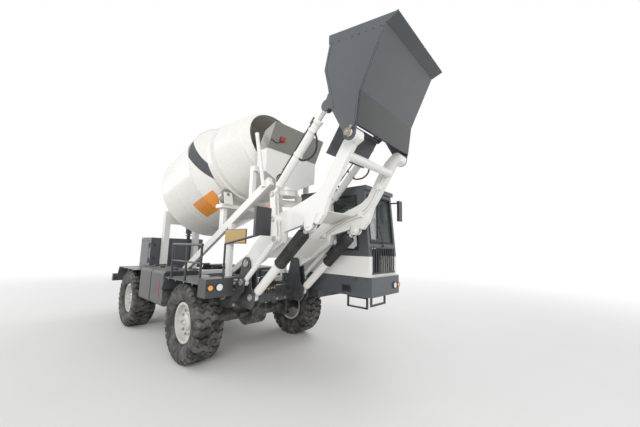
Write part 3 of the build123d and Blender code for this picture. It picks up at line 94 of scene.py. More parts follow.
class Value:
    """One shader output that takes part in plain Python arithmetic."""

    def __init__(self, graph: "Nodes", socket: bpy.types.NodeSocket) -> None:
        """Keep the nodes that the output belongs to.

        Args:
            graph: The nodes.
            socket: The output socket.
        """
        self.graph = graph
        self.socket = socket

    def _math(self, operation: str, *others: "Operand", clamp: bool = False) -> "Value":
        """Add one Math node on this value and others.

        Args:
            operation: The Math node's operation.
            others: The other operands.
            clamp: Whether the result is kept between 0 and 1.

        Returns:
            The result.
        """
        return self.graph.math(operation, self, *others, clamp=clamp)

    def __add__(self, other: "Operand") -> "Value":
        """Add."""
        return self._math("ADD", other)

    __radd__ = __add__

    def __sub__(self, other: "Operand") -> "Value":
        """Subtract."""
        return self._math("SUBTRACT", other)

    def __rsub__(self, other: float) -> "Value":
        """Subtract from a number."""
        return self.graph.math("SUBTRACT", other, self)

    def __mul__(self, other: "Operand") -> "Value":
        """Multiply."""
        return self._math("MULTIPLY", other)

    __rmul__ = __mul__

    def __truediv__(self, other: "Operand") -> "Value":
        """Divide."""
        return self._math("DIVIDE", other)

    def __abs__(self) -> "Value":
        """Drop the sign."""
        return self._math("ABSOLUTE")

    def over(self, limit: float) -> "Value":
        """Give 1 where this is over a limit."""
        return self._math("GREATER_THAN", limit)

    def under(self, limit: float) -> "Value":
        """Give 1 where this is under a limit."""
        return self._math("LESS_THAN", limit)

    def between(self, span: Point) -> "Value":
        """Give 1 where this is inside a (from, to) range."""
        return self.over(span[0]) * self.under(span[1])

    def fraction(self) -> "Value":
        """Keep the part after the point."""
        return self._math("FRACT")

    def clamped(self) -> "Value":
        """Keep the value between 0 and 1."""
        return self._math("ADD", 0.0, clamp=True)

    def smooth(self, low: float, high: float) -> "Value":
        """Blend smoothly from 0 at low to 1 at high.

        Args:
            low: Where the blend starts.
            high: Where it ends, which may be lower.

        Returns:
            The blend.
        """
        node = self.graph.add("ShaderNodeMapRange", {"interpolation_type": "SMOOTHSTEP"}, Value=self)
        first, last = (low, high) if low < high else (high, low)
        node.inputs["From Min"].default_value = first
        node.inputs["From Max"].default_value = last
        result = Value(self.graph, node.outputs["Result"])
        return result if low < high else 1.0 - result


Operand = Union[Value, float, int]


class Nodes:
    """A node tree that is filled with short calls."""

    def __init__(self, tree: bpy.types.NodeTree) -> None:
        """Keep the tree.

        Args:
            tree: The node tree of a material, a world or a node group.
        """
        self.tree = tree

    def add(self, kind: str, settings: dict, **inputs: object) -> bpy.types.Node:
        """Add one node, with its settings first and then its values or links.

        Args:
            kind: The node's type.
            settings: Its properties, by name.
            inputs: Values, sockets or Value objects for its inputs, with _ for a space.

        Returns:
            The node.
        """
        node = self.tree.nodes.new(kind)
        for key, value in settings.items():
            setattr(node, key, value)
        for key, value in inputs.items():
            self.feed(node.inputs[key.replace("_", " ")], value)
        return node

    def feed(self, socket: bpy.types.NodeSocket, value: object) -> None:
        """Link or set one input.

        Args:
            socket: The input socket.
            value: A Value, a socket, a number or a colour.
        """
        if isinstance(value, Value):
            self.tree.links.new(value.socket, socket)
        elif isinstance(value, bpy.types.NodeSocket):
            self.tree.links.new(value, socket)
        elif isinstance(value, tuple) and len(value) == 3 and socket.type == "RGBA":
            socket.default_value = (*value, 1.0)
        else:
            socket.default_value = value

    def math(self, operation: str, *operands: Operand, clamp: bool = False) -> Value:
        """Add a Math node.

        Args:
            operation: Its operation.
            operands: Its inputs, in order.
            clamp: Whether the result is kept between 0 and 1.

        Returns:
            The result.
        """
        node = self.add("ShaderNodeMath", {"operation": operation, "use_clamp": clamp})
        for socket, operand in zip(node.inputs, operands):
            self.feed(socket, operand)
        return Value(self, node.outputs[0])

    def largest(self, first: Operand, second: Operand) -> Value:
        """Take the larger of two values."""
        return self.math("MAXIMUM", first, second)

    def seen(self) -> Value:
        """Tell the rays that look at a surface from those that only carry light.

        Returns:
            1 for a ray from the camera, off a shiny surface or through glass, else 0.
        """
        path = self.add("ShaderNodeLightPath", {})
        camera, glossy, through = (
            Value(self, path.outputs[f"Is {kind} Ray"]) for kind in ("Camera", "Glossy", "Transmission")
        )
        return self.largest(self.largest(camera, glossy), through)

    def blend(self, factor: Value, first: object, second: object) -> bpy.types.NodeSocket:
        """Mix two shaders.

        Args:
            factor: How much of the second shader shows.
            first: The first shader's socket.
            second: The second shader's socket.

        Returns:
            The mixed shader's socket.
        """
        node = self.add("ShaderNodeMixShader", {})
        for socket, value in zip(node.inputs, (factor, first, second)):
            self.feed(socket, value)
        return node.outputs[0]


class Graph(Nodes):
    """The node graph of one material."""

    def __init__(self, name: str) -> None:
        """Start an empty material.

        Args:
            name: The material's name.
        """
        self.material = bpy.data.materials.new(name)
        self.material.use_nodes = True
        super().__init__(self.material.node_tree)
        self.tree.nodes.clear()
        self.output = self.add("ShaderNodeOutputMaterial", {})
        self.place = self.add("ShaderNodeTexCoord", {}).outputs["Object"]
        split = self.add("ShaderNodeSeparateXYZ", {}, Vector=self.place)
        self.x, self.y, self.z = (Value(self, split.outputs[i]) for i in range(3))
        self.normal = self.add("ShaderNodeNewGeometry", {}).outputs["Normal"]
        self.up = Value(self, self.add("ShaderNodeSeparateXYZ", {}, Vector=self.normal).outputs["Z"])

    def stretched(self, scale: Point, turn: Point = (0.0, 0.0, 0.0)) -> bpy.types.NodeSocket:
        """Scale and turn the object coordinates for a pattern with a direction."""
        node = self.add("ShaderNodeMapping", {}, Vector=self.place, Scale=scale, Rotation=turn)
        return node.outputs["Vector"]

    def noise(self, scale: float, detail: float = 3.0, rough: float = 0.5, where: object = None) -> Value:
        """Add a noise pattern on the object coordinates.

        Args:
            scale: Its scale, per metre.
            detail: How many octaves it has.
            rough: How strong the fine octaves are.
            where: Other coordinates, if any.

        Returns:
            The pattern, about 0.5 on average.
        """
        node = self.add(
            "ShaderNodeTexNoise", {}, Vector=where or self.place, Scale=scale, Detail=detail, Roughness=rough
        )
        return Value(self, node.outputs[0])

    def cells(self, scale: float, where: object = None) -> Value:
        """Add a Voronoi distance pattern.

        Args:
            scale: Its scale, per metre.
            where: Other coordinates, if any.

        Returns:
            The distance to the nearest cell point.
        """
        node = self.add("ShaderNodeTexVoronoi", {}, Vector=where or self.place, Scale=scale)
        return Value(self, node.outputs["Distance"])

    def mix(self, factor: Operand, first: object, second: object) -> bpy.types.NodeSocket:
        """Mix two colours.

        Args:
            factor: How much of the second colour shows.
            first: The first colour.
            second: The second colour.

        Returns:
            The mixed colour's socket.
        """
        node = self.add("ShaderNodeMix", {"data_type": "RGBA", "clamp_factor": True})
        self.feed(node.inputs[0], factor)
        self.feed(node.inputs[6], first)
        self.feed(node.inputs[7], second)
        return node.outputs[2]

    def edge(self, radius: float) -> tuple[Value, bpy.types.NodeSocket]:
        """Find sharp outer edges and give the rounded normal there.

        Args:
            radius: How wide the edge is, in metres.

        Returns:
            A mask that is 1 on an edge, and the rounded normal.
        """
        rounded = self.add("ShaderNodeBevel", {"samples": 4}, Radius=radius)
        dot = self.add("ShaderNodeVectorMath", {"operation": "DOT_PRODUCT"})
        self.feed(dot.inputs[0], rounded.outputs[0])
        self.feed(dot.inputs[1], self.normal)
        mask = Value(self, dot.outputs["Value"]).smooth(0.995, 0.85)
        return mask, rounded.outputs[0]

    def bump(
        self, height: Value, strength: float, distance: float, normal: object = None
    ) -> bpy.types.NodeSocket:
        """Turn a height into a normal.

        Args:
            height: The height.
            strength: How strong it is.
            distance: How high 1 is, in metres.
            normal: A normal to start from.

        Returns:
            The normal's socket.
        """
        node = self.add("ShaderNodeBump", {}, Height=height, Strength=strength, Distance=distance)
        if normal is not None:
            self.feed(node.inputs["Normal"], normal)
        return node.outputs[0]

    def finish(self, **inputs: object) -> bpy.types.Material:
        """Close the graph with one Principled shader.

        Args:
            inputs: The shader's inputs, with _ for a space.

        Returns:
            The material.
        """
        shader = self.add("ShaderNodeBsdfPrincipled", {}, **inputs)
        self.tree.links.new(shader.outputs[0], self.output.inputs["Surface"])
        return self.material


DUST: Colour = (0.42, 0.38, 0.32)
CEMENT: Colour = (0.50, 0.49, 0.46)
STEEL: Colour = (0.42, 0.41, 0.40)
RUST: Colour = (0.20, 0.085, 0.035)


@dataclass(frozen=True)
class Paint:
    """Sprayed machine paint with dust, cement splashes, scuffs and worn edges."""

    name: str
    colour: Colour
    roughness: float = 0.32
    dust: float = 0.35
    splash: float = 0.25
    wear: float = 0.35
    under: Colour = STEEL
    coat: float = 0.25
    edge_width: float = 0.004
    stain: Colour = (0.25, 0.25, 0.24)

    def layers(self, graph: Graph, colour: object) -> bpy.types.Material:
        """Lay dust, splashes and wear over a base colour.

        Args:
            graph: The material graph.
            colour: The base colour or its socket.

        Returns:
            The material.
        """
        broad = graph.noise(1.7, 3.0)
        fine = graph.noise(38.0, 4.0, 0.6)
        tone = graph.mix((broad - 0.5) * 0.35 + 0.12, colour, graph.mix(0.35, colour, self.stain))
        settle = graph.up.smooth(0.35, 1.0) * graph.noise(5.0, 4.0, 0.65).smooth(0.34, 0.72) * self.dust
        low = (graph.z + broad * 0.7).smooth(1.55, 0.55)
        low = low * graph.noise(9.0, 5.0, 0.7).smooth(0.40, 0.68) * self.dust
        runs = graph.noise(3.2, 4.0, 0.6, graph.stretched((14.0, 14.0, 0.8)))
        streak = runs.smooth(0.60, 0.80) * (1.0 - abs(graph.up)).smooth(0.2, 0.7) * self.dust * 0.35
        dusty = graph.largest(graph.largest(settle, low), streak).clamped()
        spots = graph.cells(55.0).under(0.17) * graph.noise(6.0, 3.0).smooth(0.56, 0.66) * self.splash
        rubbed, rounded = graph.edge(self.edge_width)
        worn = (rubbed * graph.noise(26.0, 4.0, 0.7).smooth(0.50, 0.66) * self.wear).clamped()
        strokes = graph.stretched((1.0, 1.0, 16.0), (0.5, 0.3, 0.2))
        scuffs = graph.noise(9.0, 5.0, 0.75, strokes).smooth(0.70, 0.76)
        scuffs = scuffs * broad.smooth(0.5, 0.7) * self.wear * 0.5
        shade = graph.mix(dusty * 0.8, tone, DUST)
        shade = graph.mix(spots, shade, CEMENT)
        shade = graph.mix(scuffs, shade, graph.mix(0.5, self.under, colour))
        shade = graph.mix(worn, shade, self.under)
        rough = (dusty * 0.45 + fine * 0.10 + (self.roughness - 0.05) + spots * 0.4 + scuffs * 0.25).clamped()
        skin = graph.noise(520.0, 1.0) * 0.25 + graph.noise(60.0, 2.0) * 0.5 + spots * 2.0 - worn * 1.2
        normal = graph.bump(skin, 0.25, 0.0006, rounded)
        return graph.finish(
            Base_Color=shade, Roughness=rough, Metallic=worn * 0.6, Coat_Weight=(1.0 - dusty) * self.coat,
            Coat_Roughness=0.12, Normal=normal,
        )

    def build(self) -> bpy.types.Material:
        """Build the paint in its one colour."""
        return self.layers(Graph(self.name), self.colour)


@dataclass(frozen=True)
class DrumPaint(Paint):
    """White drum paint with a charcoal band and a plain orange patch round the rear cone."""

    band: Colour = (0.055, 0.058, 0.065)
    patch: Colour = (0.82, 0.30, 0.03)
    band_slope: float = 0.458
    band_width: Point = (0.200, 0.375)
    band_reach: Point = (-1.75, -0.218)
    patch_reach: Point = (-0.96, -0.385)
    patch_turn: Point = (0.50, 0.86)

    def build(self) -> bpy.types.Material:
        """Build the paint with its band and patch, placed along and round the drum's axis.

        Returns:
            The material.
        """
        graph = Graph(self.name)
        centre = at(*DRUM_RING)
        ahead, above = graph.x - centre.x, graph.z - centre.z
        along = ahead * cos(DRUM_TILT) + above * sin(DRUM_TILT)
        across = above * cos(DRUM_TILT) - ahead * sin(DRUM_TILT)
        turned = abs(graph.math("ARCTAN2", graph.y, across * -1.0))
        band = (along + turned * self.band_slope).between(self.band_width) * along.between(self.band_reach)
        patch = along.between(self.patch_reach) * turned.between(self.patch_turn)
        colour = graph.mix(band, self.colour, self.band)
        colour = graph.mix(patch, colour, self.patch)
        return self.layers(graph, colour)


@dataclass(frozen=True)
class Rubber:
    """Black rubber with pale dust in its hollows."""

    name: str
    colour: Colour = (0.022, 0.022, 0.023)
    dust: float = 0.5
    grain: float = 240.0
    film: Colour = (0.22, 0.21, 0.18)

    def build(self) -> bpy.types.Material:
        """Build the rubber.

        Returns:
            The material.
        """
        graph = Graph(self.name)
        cloud = graph.noise(7.0, 5.0, 0.65).smooth(0.36, 0.72)
        film = graph.noise(60.0, 3.0, 0.6)
        dusty = (cloud * (film * 0.6 + 0.5) * self.dust).clamped()
        shade = graph.mix(dusty, self.colour, self.film)
        rough = (dusty * 0.30 + film * 0.12 + 0.50).clamped()
        normal = graph.bump(graph.noise(self.grain, 2.0) + graph.noise(30.0, 2.0) * 0.6, 0.35, 0.0012)
        return graph.finish(Base_Color=shade, Roughness=rough, Normal=normal, Specular_IOR_Level=0.35)


@dataclass(frozen=True)
class BareMetal:
    """Steel that is turned, ground or plated, with fine marks and a little rust."""

    name: str
    colour: Colour = (0.55, 0.55, 0.56)
    roughness: float = 0.28
    rust: float = 0.25
    grease: float = 0.2
    dull: Colour = (0.30, 0.29, 0.28)
    oil: Colour = (0.05, 0.045, 0.04)

    def build(self) -> bpy.types.Material:
        """Build the metal.

        Returns:
            The material.
        """
        graph = Graph(self.name)
        cloud = graph.noise(8.0, 4.0, 0.6)
        lines = graph.noise(90.0, 3.0, 0.6, graph.stretched((1.0, 9.0, 1.0), (0.2, 0.6, 0.1)))
        rusty = cloud.smooth(0.52, 0.72) * graph.noise(45.0, 3.0).smooth(0.40, 0.65) * self.rust
        rusty = rusty.clamped()
        oily = graph.noise(4.0, 3.0).smooth(0.45, 0.6) * self.grease
        ground = graph.mix((lines - 0.5) * 0.5 + 0.2, self.colour, self.dull)
        shade = graph.mix(oily, graph.mix(rusty, ground, RUST), self.oil)
        rough = (lines * 0.18 + rusty * 0.5 + (self.roughness - 0.08)).clamped()
        normal = graph.bump(lines + rusty * 0.8, 0.15, 0.0005)
        return graph.finish(Base_Color=shade, Roughness=rough, Metallic=(1.0 - rusty) * 0.95, Normal=normal)


@dataclass(frozen=True)
class Moulded:
    """Moulded plastic with a fine grain."""

    name: str
    colour: Colour
    roughness: float = 0.55
    grain: float = 420.0
    depth: float = 0.0008
    dust: float = 0.2

    def build(self) -> bpy.types.Material:
        """Build the plastic.

        Returns:
            The material.
        """
        graph = Graph(self.name)
        cloud = graph.noise(6.0, 3.0)
        dusty = (graph.up.smooth(0.2, 1.0) * cloud.smooth(0.4, 0.7) * self.dust).clamped()
        grain = graph.cells(self.grain)
        pale = graph.mix(0.12, self.colour, (0.5, 0.5, 0.5))
        shade = graph.mix(dusty, graph.mix(cloud * 0.5, self.colour, pale), DUST)
        rough = (grain * 0.15 + dusty * 0.3 + self.roughness - 0.05).clamped()
        return graph.finish(Base_Color=shade, Roughness=rough, Normal=graph.bump(grain, 0.3, self.depth))


@dataclass(frozen=True)
class Glazing:
    """Tinted cab glass with a patchy dusty film."""

    name: str
    tint: Colour = (0.10, 0.13, 0.13)

    def build(self) -> bpy.types.Material:
        """Build the glass.

        Returns:
            The material.
        """
        graph = Graph(self.name)
        film = (graph.noise(5.0, 5.0, 0.7).smooth(0.45, 0.75) * 0.16 + 0.05).clamped()
        glass = graph.add(
            "ShaderNodeBsdfPrincipled", {}, Base_Color=graph.mix(film, self.tint, DUST),
            Roughness=(film * 0.6 + 0.02).clamped(), Alpha=(film * 1.2 + 0.16).clamped(), IOR=1.45,
        )
        graph.tree.links.new(glass.outputs[0], graph.output.inputs["Surface"])
        return graph.material


@dataclass(frozen=True)
class Lens:
    """Lamp lenses, coloured by their place on the machine: amber outer, clear inner, red behind."""

    name: str
    amber: Colour = (0.95, 0.36, 0.02)
    clear: Colour = (0.78, 0.80, 0.80)
    red: Colour = (0.55, 0.02, 0.02)
    outer_from: float = 1.105
    behind: float = -3.0
    ribs: float = 120.0

    def build(self) -> bpy.types.Material:
        """Build the lenses.

        Returns:
            The material.
        """
        graph = Graph(self.name)
        shade = graph.mix(abs(graph.y).over(self.outer_from), self.clear, self.amber)
        shade = graph.mix(graph.x.under(self.behind), shade, self.red)
        ribs = (graph.z * self.ribs).fraction() - 0.5
        cloud = graph.noise(30.0, 3.0)
        shade = graph.mix(cloud * 0.25, shade, DUST)
        normal = graph.bump(abs(ribs), 0.5, 0.002)
        return graph.finish(Base_Color=shade, Roughness=cloud * 0.2 + 0.08, Normal=normal, Coat_Weight=0.6)


@dataclass(frozen=True)
class Perforated:
    """White sheet with rows of round holes."""

    name: str
    colour: Colour = (0.74, 0.73, 0.69)
    pitch: float = 0.022
    hole: float = 0.3
    dark: Colour = (0.02, 0.02, 0.02)

    def build(self) -> bpy.types.Material:
        """Build the sheet.

        Returns:
            The material.
        """
        graph = Graph(self.name)
        across = (graph.y / self.pitch).fraction() - 0.5
        along = (graph.x / self.pitch).fraction() - 0.5
        hole = (across * across + along * along).under(self.hole ** 2) * graph.up.over(0.5)
        cloud = graph.noise(20.0, 4.0, 0.6)
        shade = graph.mix(cloud.smooth(0.5, 0.7) * 0.4, self.colour, DUST)
        shade = graph.mix(hole, shade, self.dark)
        normal = graph.bump(1.0 - hole, 0.6, 0.002)
        return graph.finish(Base_Color=shade, Roughness=cloud * 0.2 + 0.35, Normal=normal)


@dataclass(frozen=True)
class BucketPaint(Paint):
    """Slate enamel that is black on a band below the front fold."""

    panel: Colour = (0.016, 0.017, 0.019)
    foot: Point = (2655.0, 0.0, 2790.0)
    slope: float = 45.0 / 330.0
    reach: float = 0.035
    heights: Point = (2.78, 3.118)

    def build(self) -> bpy.types.Material:
        """Build the two shades, placed by the bucket's lower front panel.

        Returns:
            The material.
        """
        graph = Graph(self.name)
        foot = at(*self.foot)
        lean = graph.x - foot.x - (graph.z - foot.z) * self.slope
        panel = abs(lean).under(self.reach) * graph.z.between(self.heights)
        return self.layers(graph, graph.mix(panel, self.colour, self.panel))


@dataclass(frozen=True)
class HopperPaint(Paint):
    """White enamel with painted shade above the hopper's fold: olive grey on the flare, whose outer faces lean
    out and face down.
    """

    # painted shade: this olive grey stands in for the flare's shaded, down-facing outer faces
    flare: Colour = (0.235, 0.235, 0.205)
    fold: float = 3.062
    ragged: float = 0.02

    def build(self) -> bpy.types.Material:
        """Build the white enamel and the painted shade on the flare, placed by height.

        Returns:
            The material.
        """
        graph = Graph(self.name)
        edge = graph.noise(12.0, 3.0) * self.ragged
        # above the fold, with a ragged edge, the white gives way to the painted shade
        return self.layers(graph, graph.mix((graph.z + edge).over(self.fold), self.colour, self.flare))


MADE: dict[str, bpy.types.Material] = {}
WHITE_ENAMEL: Colour = (0.78, 0.77, 0.73)
SLATE_ENAMEL: Colour = (0.062, 0.072, 0.082)


class Finish(Enum):
    """The finishes of this machine."""

    WHITE = Paint("white_enamel", WHITE_ENAMEL, 0.30, dust=0.30, splash=0.30, wear=0.25,
                  under=(0.30, 0.28, 0.26))
    DRUM = DrumPaint("drum_enamel", (0.79, 0.77, 0.72), 0.28, dust=0.22, splash=0.35, wear=0.12,
                     under=(0.4, 0.38, 0.35))
    HOPPER = HopperPaint("hopper_enamel", WHITE_ENAMEL, 0.36, dust=0.35, splash=0.5, wear=0.3)
    BUCKET = BucketPaint("bucket_enamel", SLATE_ENAMEL, 0.34, dust=0.22, splash=0.15, wear=0.4)
    SLATE = Paint("slate_enamel", SLATE_ENAMEL, 0.36, dust=0.32, splash=0.25, wear=0.45,
                  under=(0.28, 0.27, 0.26))
    FRAME = Paint("frame_black", (0.030, 0.032, 0.036), 0.42, dust=0.60, splash=0.30, wear=0.35)
    BLACK = Paint("black_tube", (0.018, 0.018, 0.020), 0.35, dust=0.35, splash=0.10, wear=0.35)
    WHEEL = Paint("wheel_white", (0.62, 0.61, 0.58), 0.38, dust=0.75, splash=0.30, wear=0.30)
    CHROME = BareMetal("cylinder_chrome", (0.72, 0.72, 0.73), 0.10, rust=0.05, grease=0.15)
    STEEL = BareMetal("turned_steel", (0.46, 0.45, 0.44), 0.34, rust=0.45, grease=0.25)
    CAST = BareMetal("cast_iron", (0.13, 0.13, 0.135), 0.55, rust=0.25, grease=0.40)
    BOLT = BareMetal("zinc_bolt", (0.52, 0.51, 0.47), 0.36, rust=0.30, grease=0.1)
    TYRE = Rubber("tyre_rubber", (0.026, 0.026, 0.025), dust=0.85)
    BELLOWS = Rubber("bellows_rubber", (0.014, 0.014, 0.015), dust=0.22)
    SEAL = Rubber("window_seal", (0.012, 0.012, 0.012), dust=0.15)
    HOSE = Rubber("hose_rubber", (0.016, 0.016, 0.018), dust=0.2, grain=600.0)
    TRIM = Moulded("cab_trim", (0.035, 0.036, 0.040))
    GLASS = Glazing("cab_glass_tint")
    LENS = Lens("lamp_lens")
    RED = Moulded("red_lens", (0.55, 0.02, 0.02), 0.22, grain=160.0, dust=0.1)
    BRASS = BareMetal("brass_fitting", (0.62, 0.40, 0.12), 0.30, rust=0.08, grease=0.15)
    BRONZE = BareMetal("bronze_keeper", (0.36, 0.30, 0.20), 0.38, rust=0.35, grease=0.3)
    OCHRE = Paint("ochre_plate", (0.46, 0.29, 0.06), 0.34, dust=0.2, splash=0.2, wear=0.2)
    WELD = Paint("weld_bead", (0.70, 0.69, 0.65), 0.4, dust=0.4, splash=0.2, wear=0.3)
    GRID = Perforated("perforated_ledge")
    MIRROR = BareMetal("mirror_glass_face", (0.80, 0.82, 0.84), 0.06, rust=0.0, grease=0.05)

    @property
    def material(self) -> bpy.types.Material:
        """The finish as a material.

        Returns:
            The material, built the first time that it is asked for.
        """
        if self.name not in MADE:
            MADE[self.name] = self.value.build()
        return MADE[self.name]


NODE_FINISHES: dict[Finish, tuple[str, ...]] = {
    Finish.WHITE: (
        "boom", "drum_cradle", "cab_belt", "discharge_chute", "lower_links", "rockers", "tilt_barrels",
        "lift_barrels", "drum_race",
    ),
    Finish.DRUM: ("drum_shell",),
    Finish.HOPPER: ("hopper",),
    Finish.BUCKET: ("bucket",),
    Finish.SLATE: ("bucket_gate", "cab_skirt", "engine_hood", "hood_door", "cab_upper", "cab_door", "fenders"),
    Finish.FRAME: ("chassis_frame", "boom_stand", "axles", "side_tanks"),
    Finish.BLACK: ("cab_guard", "cab_step", "handrail", "mirrors", "exhaust"),
    Finish.CHROME: ("tilt_rods", "lift_rods"),
    Finish.STEEL: ("drum_roller_left", "drum_roller_right"),
    Finish.CAST: ("engine_block", "drum_drive"),
    Finish.GLASS: ("cab_glass", "door_glass"),
    Finish.TRIM: ("cab_interior",),
    Finish.BELLOWS: ("lift_bellows",),
    Finish.LENS: ("lamps",),
}
WHEEL_FINISHES: dict[str, Finish] = {"tyre": Finish.TYRE, "rim": Finish.WHEEL}


def dress_nodes(nodes: dict[str, bpy.types.Object]) -> None:
    """Give every CAD node its finish.

    Args:
        nodes: The frame's nodes, by name.
    """
    chosen = {name: finish for finish, names in NODE_FINISHES.items() for name in names}
    for name, node in nodes.items():
        finish = WHEEL_FINISHES.get(name.rsplit("_", 1)[-1], chosen.get(name, Finish.FRAME))
        if not node.material_slots:
            node.data.materials.append(finish.material)
        for slot in node.material_slots:
            slot.material = finish.material
        LOG.info("node %s: %s", name, finish.name)


def add_object(name: str, data: bpy.types.ID) -> bpy.types.Object:
    """Make an object and show it in the scene.

    Args:
        name: The object's name.
        data: Its mesh, lamp or camera.

    Returns:
        The object.
    """
    thing = bpy.data.objects.new(name, data)
    bpy.context.collection.objects.link(thing)
    return thing


def rectangle(across: Point, up: Point) -> list[Point]:
    """Give a rectangle's corners in turn, from its two (from, to) ranges."""
    return [(across[0], up[0]), (across[1], up[0]), (across[1], up[1]), (across[0], up[1])]


def circle(
    centre: Vector, first: Vector, second: Vector, radius: float, count: int, start: float = 0.0
) -> list[Vector]:
    """Give evenly spaced points on a circle.

    Args:
        centre: The circle's middle.
        first: The direction of angle 0, of length 1.
        second: The direction of a quarter turn, of length 1.
        radius: The circle's radius, in millimetres.
        count: How many points there are.
        start: The first point's angle, in radians.

    Returns:
        The points.
    """
    angles = [start + 2 * pi * i / count for i in range(count)]
    return [centre + (first * cos(angle) + second * sin(angle)) * (radius / 1000) for angle in angles]


class Shape:
    """A mesh under construction, in metres in the row frame."""

    SOFT_END = 0.12
    MITRE = 1.35
    SMOOTH_BELOW = radians(35.0)
    ROUNDED_OVER = radians(30.0)

    def __init__(self) -> None:
        """Start with an empty mesh."""
        self.mesh = bmesh.new()

    def ring(self, points: Sequence[Vector]) -> list[bmesh.types.BMVert]:
        """Add a vertex at every point."""
        return [self.mesh.verts.new(point) for point in points]

    def bridge(self, first: Sequence[bmesh.types.BMVert], second: Sequence[bmesh.types.BMVert]) -> None:
        """Join two closed rings of one length with faces.

        Args:
            first: The first ring.
            second: The second ring.
        """
        for i, _ in enumerate(first):
            j = (i + 1) % len(first)
            self.mesh.faces.new((first[i], first[j], second[j], second[i]))

    def prism(self, outline: Sequence[Vector], push: Vector) -> "Shape":
        """Add a plate from a flat outline pushed along a vector.

        Args:
            outline: The outline's corners.
            push: How far and where the outline is pushed.

        Returns:
            This shape.
        """
        low = self.ring(outline)
        high = self.ring([point + push for point in outline])
        self.mesh.faces.new(low[::-1])
        self.mesh.faces.new(high)
        self.bridge(low, high)
        return self

    def block(self, x: Point, y: Point, z: Point) -> "Shape":
        """Add a box from three (from, to) pairs in millimetres."""
        outline = [at(corner_x, corner_y, z[0]) for corner_x, corner_y in rectangle(x, y)]
        return self.prism(outline, OUT_Z * ((z[1] - z[0]) / 1000))

    def turned(self, start: Vector, axis: Vector, profile: Sequence[Point], sides: int = 24) -> "Shape":
        """Add a turned form.

        Args:
            start: Where the axis starts.
            axis: The axis, of any length.
            profile: Distances along the axis and radii, in millimetres; a radius of 0 closes an end.
            sides: How many sides it has.

        Returns:
            This shape.
        """
        along = Vector(axis).normalized()
        first = along.orthogonal().normalized()
        second = along.cross(first)
        rings = []
        for distance, radius in profile:
            centre = start + along * (distance / 1000)
            points = circle(centre, first, second, radius, sides) if radius > 0 else [centre]
            rings.append(self.ring(points))
        for ring, other in zip(rings[:-1], rings[1:]):
            for i in range(sides):
                j = (i + 1) % sides
                if len(ring) == 1:
                    self.mesh.faces.new((ring[0], other[i], other[j]))
                elif len(other) == 1:
                    self.mesh.faces.new((ring[i], other[0], ring[j]))
                else:
                    self.mesh.faces.new((ring[i], other[i], other[j], ring[j]))
        return self

    def rod(self, start: Vector, end: Vector, radius: float, sides: int = 20) -> "Shape":
        """Add a round bar with softened ends.

        Args:
            start: One end.
            end: The other end.
            radius: Its radius, in millimetres.
            sides: How many sides it has.

        Returns:
            This shape.
        """
        length = (end - start).length * 1000
        rim = radius * self.SOFT_END
        profile = [(0, 0), (0, radius - rim), (rim, radius), (length - rim, radius), (length, radius - rim),
                   (length, 0)]
        return self.turned(start, end - start, profile, sides)

    def pipe(self, route: Sequence[Vector], radius: float, sides: int = 10, steps: int = 8) -> "Shape":
        """Add a smooth round pipe through points.

        Args:
            route: The points.
            radius: Its radius, in millimetres.
            sides: How many sides it has.
            steps: How many rings each stretch has.

        Returns:
            This shape.
        """
        padded = [route[0] * 2 - route[1], *route, route[-1] * 2 - route[-2]]
        line = []
        for a, b, c, d in zip(padded, padded[1:], padded[2:], padded[3:]):
            for i in range(steps):
                t = i / steps
                line.append(0.5 * ((2 * b) + (c - a) * t + (2 * a - 5 * b + 4 * c - d) * t ** 2
                                   + (3 * b - a - 3 * c + d) * t ** 3))
        line.append(route[-1])
        side = (line[1] - line[0]).orthogonal().normalized()
        rings = []
        for i, centre in enumerate(line):
            ahead = (line[min(i + 1, len(line) - 1)] - line[max(i - 1, 0)]).normalized()
            side = (side - ahead * side.dot(ahead)).normalized()
            rings.append(self.ring(circle(centre, side, ahead.cross(side), radius, sides)))
        for ring, following in zip(rings[:-1], rings[1:]):
            self.bridge(ring, following)
        self.mesh.faces.new(rings[0][::-1])
        self.mesh.faces.new(rings[-1])
        return self

    def frame(self, outline: Sequence[Vector], inward: float, push: Vector) -> "Shape":
        """Add a flat closed frame that follows an outline.

        Args:
            outline: The frame's outer corners.
            inward: How wide the frame is, in millimetres.
            push: The frame's thickness as a vector.

        Returns:
            This shape.
        """
        middle = sum(outline, Vector()) / len(outline)
        inner = [point + (middle - point).normalized() * (inward / 1000 * self.MITRE) for point in outline]
        for i, _ in enumerate(outline):
            j = (i + 1) % len(outline)
            self.prism([outline[i], outline[j], inner[j], inner[i]], push)
        return self

    def piece(
        self, name: str, body: str, finish: Finish, bevel: float = 0.0, segments: int = 2
    ) -> bpy.types.Object:
        """Close the mesh and make it a piece that rides on a body.

        Args:
            name: The piece's name.
            body: The CAD body that it rides on.
            finish: Its finish.
            bevel: How large its rounded edges are, in millimetres.
            segments: How many faces a rounded edge has.

        Returns:
            The piece.
        """
        bmesh.ops.remove_doubles(self.mesh, verts=self.mesh.verts, dist=1e-6)
        bmesh.ops.recalc_face_normals(self.mesh, faces=self.mesh.faces)
        data = bpy.data.meshes.new(name)
        self.mesh.to_mesh(data)
        self.mesh.free()
        data.polygons.foreach_set("use_smooth", [True] * len(data.polygons))
        data.set_sharp_from_angle(angle=self.SMOOTH_BELOW)
        data.materials.append(finish.material)
        piece = add_object(name, data)
        if bevel:
            rounding = piece.modifiers.new("rounding", "BEVEL")
            rounding.width = bevel / 1000
            rounding.segments = segments
            rounding.limit_method = "ANGLE"
            rounding.angle_limit = self.ROUNDED_OVER
            rounding.harden_normals = True
        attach(piece, body)
        LOG.info("piece %s on %s: %d faces", name, body, len(data.polygons))
        return piece


Places = list[tuple[Vector, Vector]]


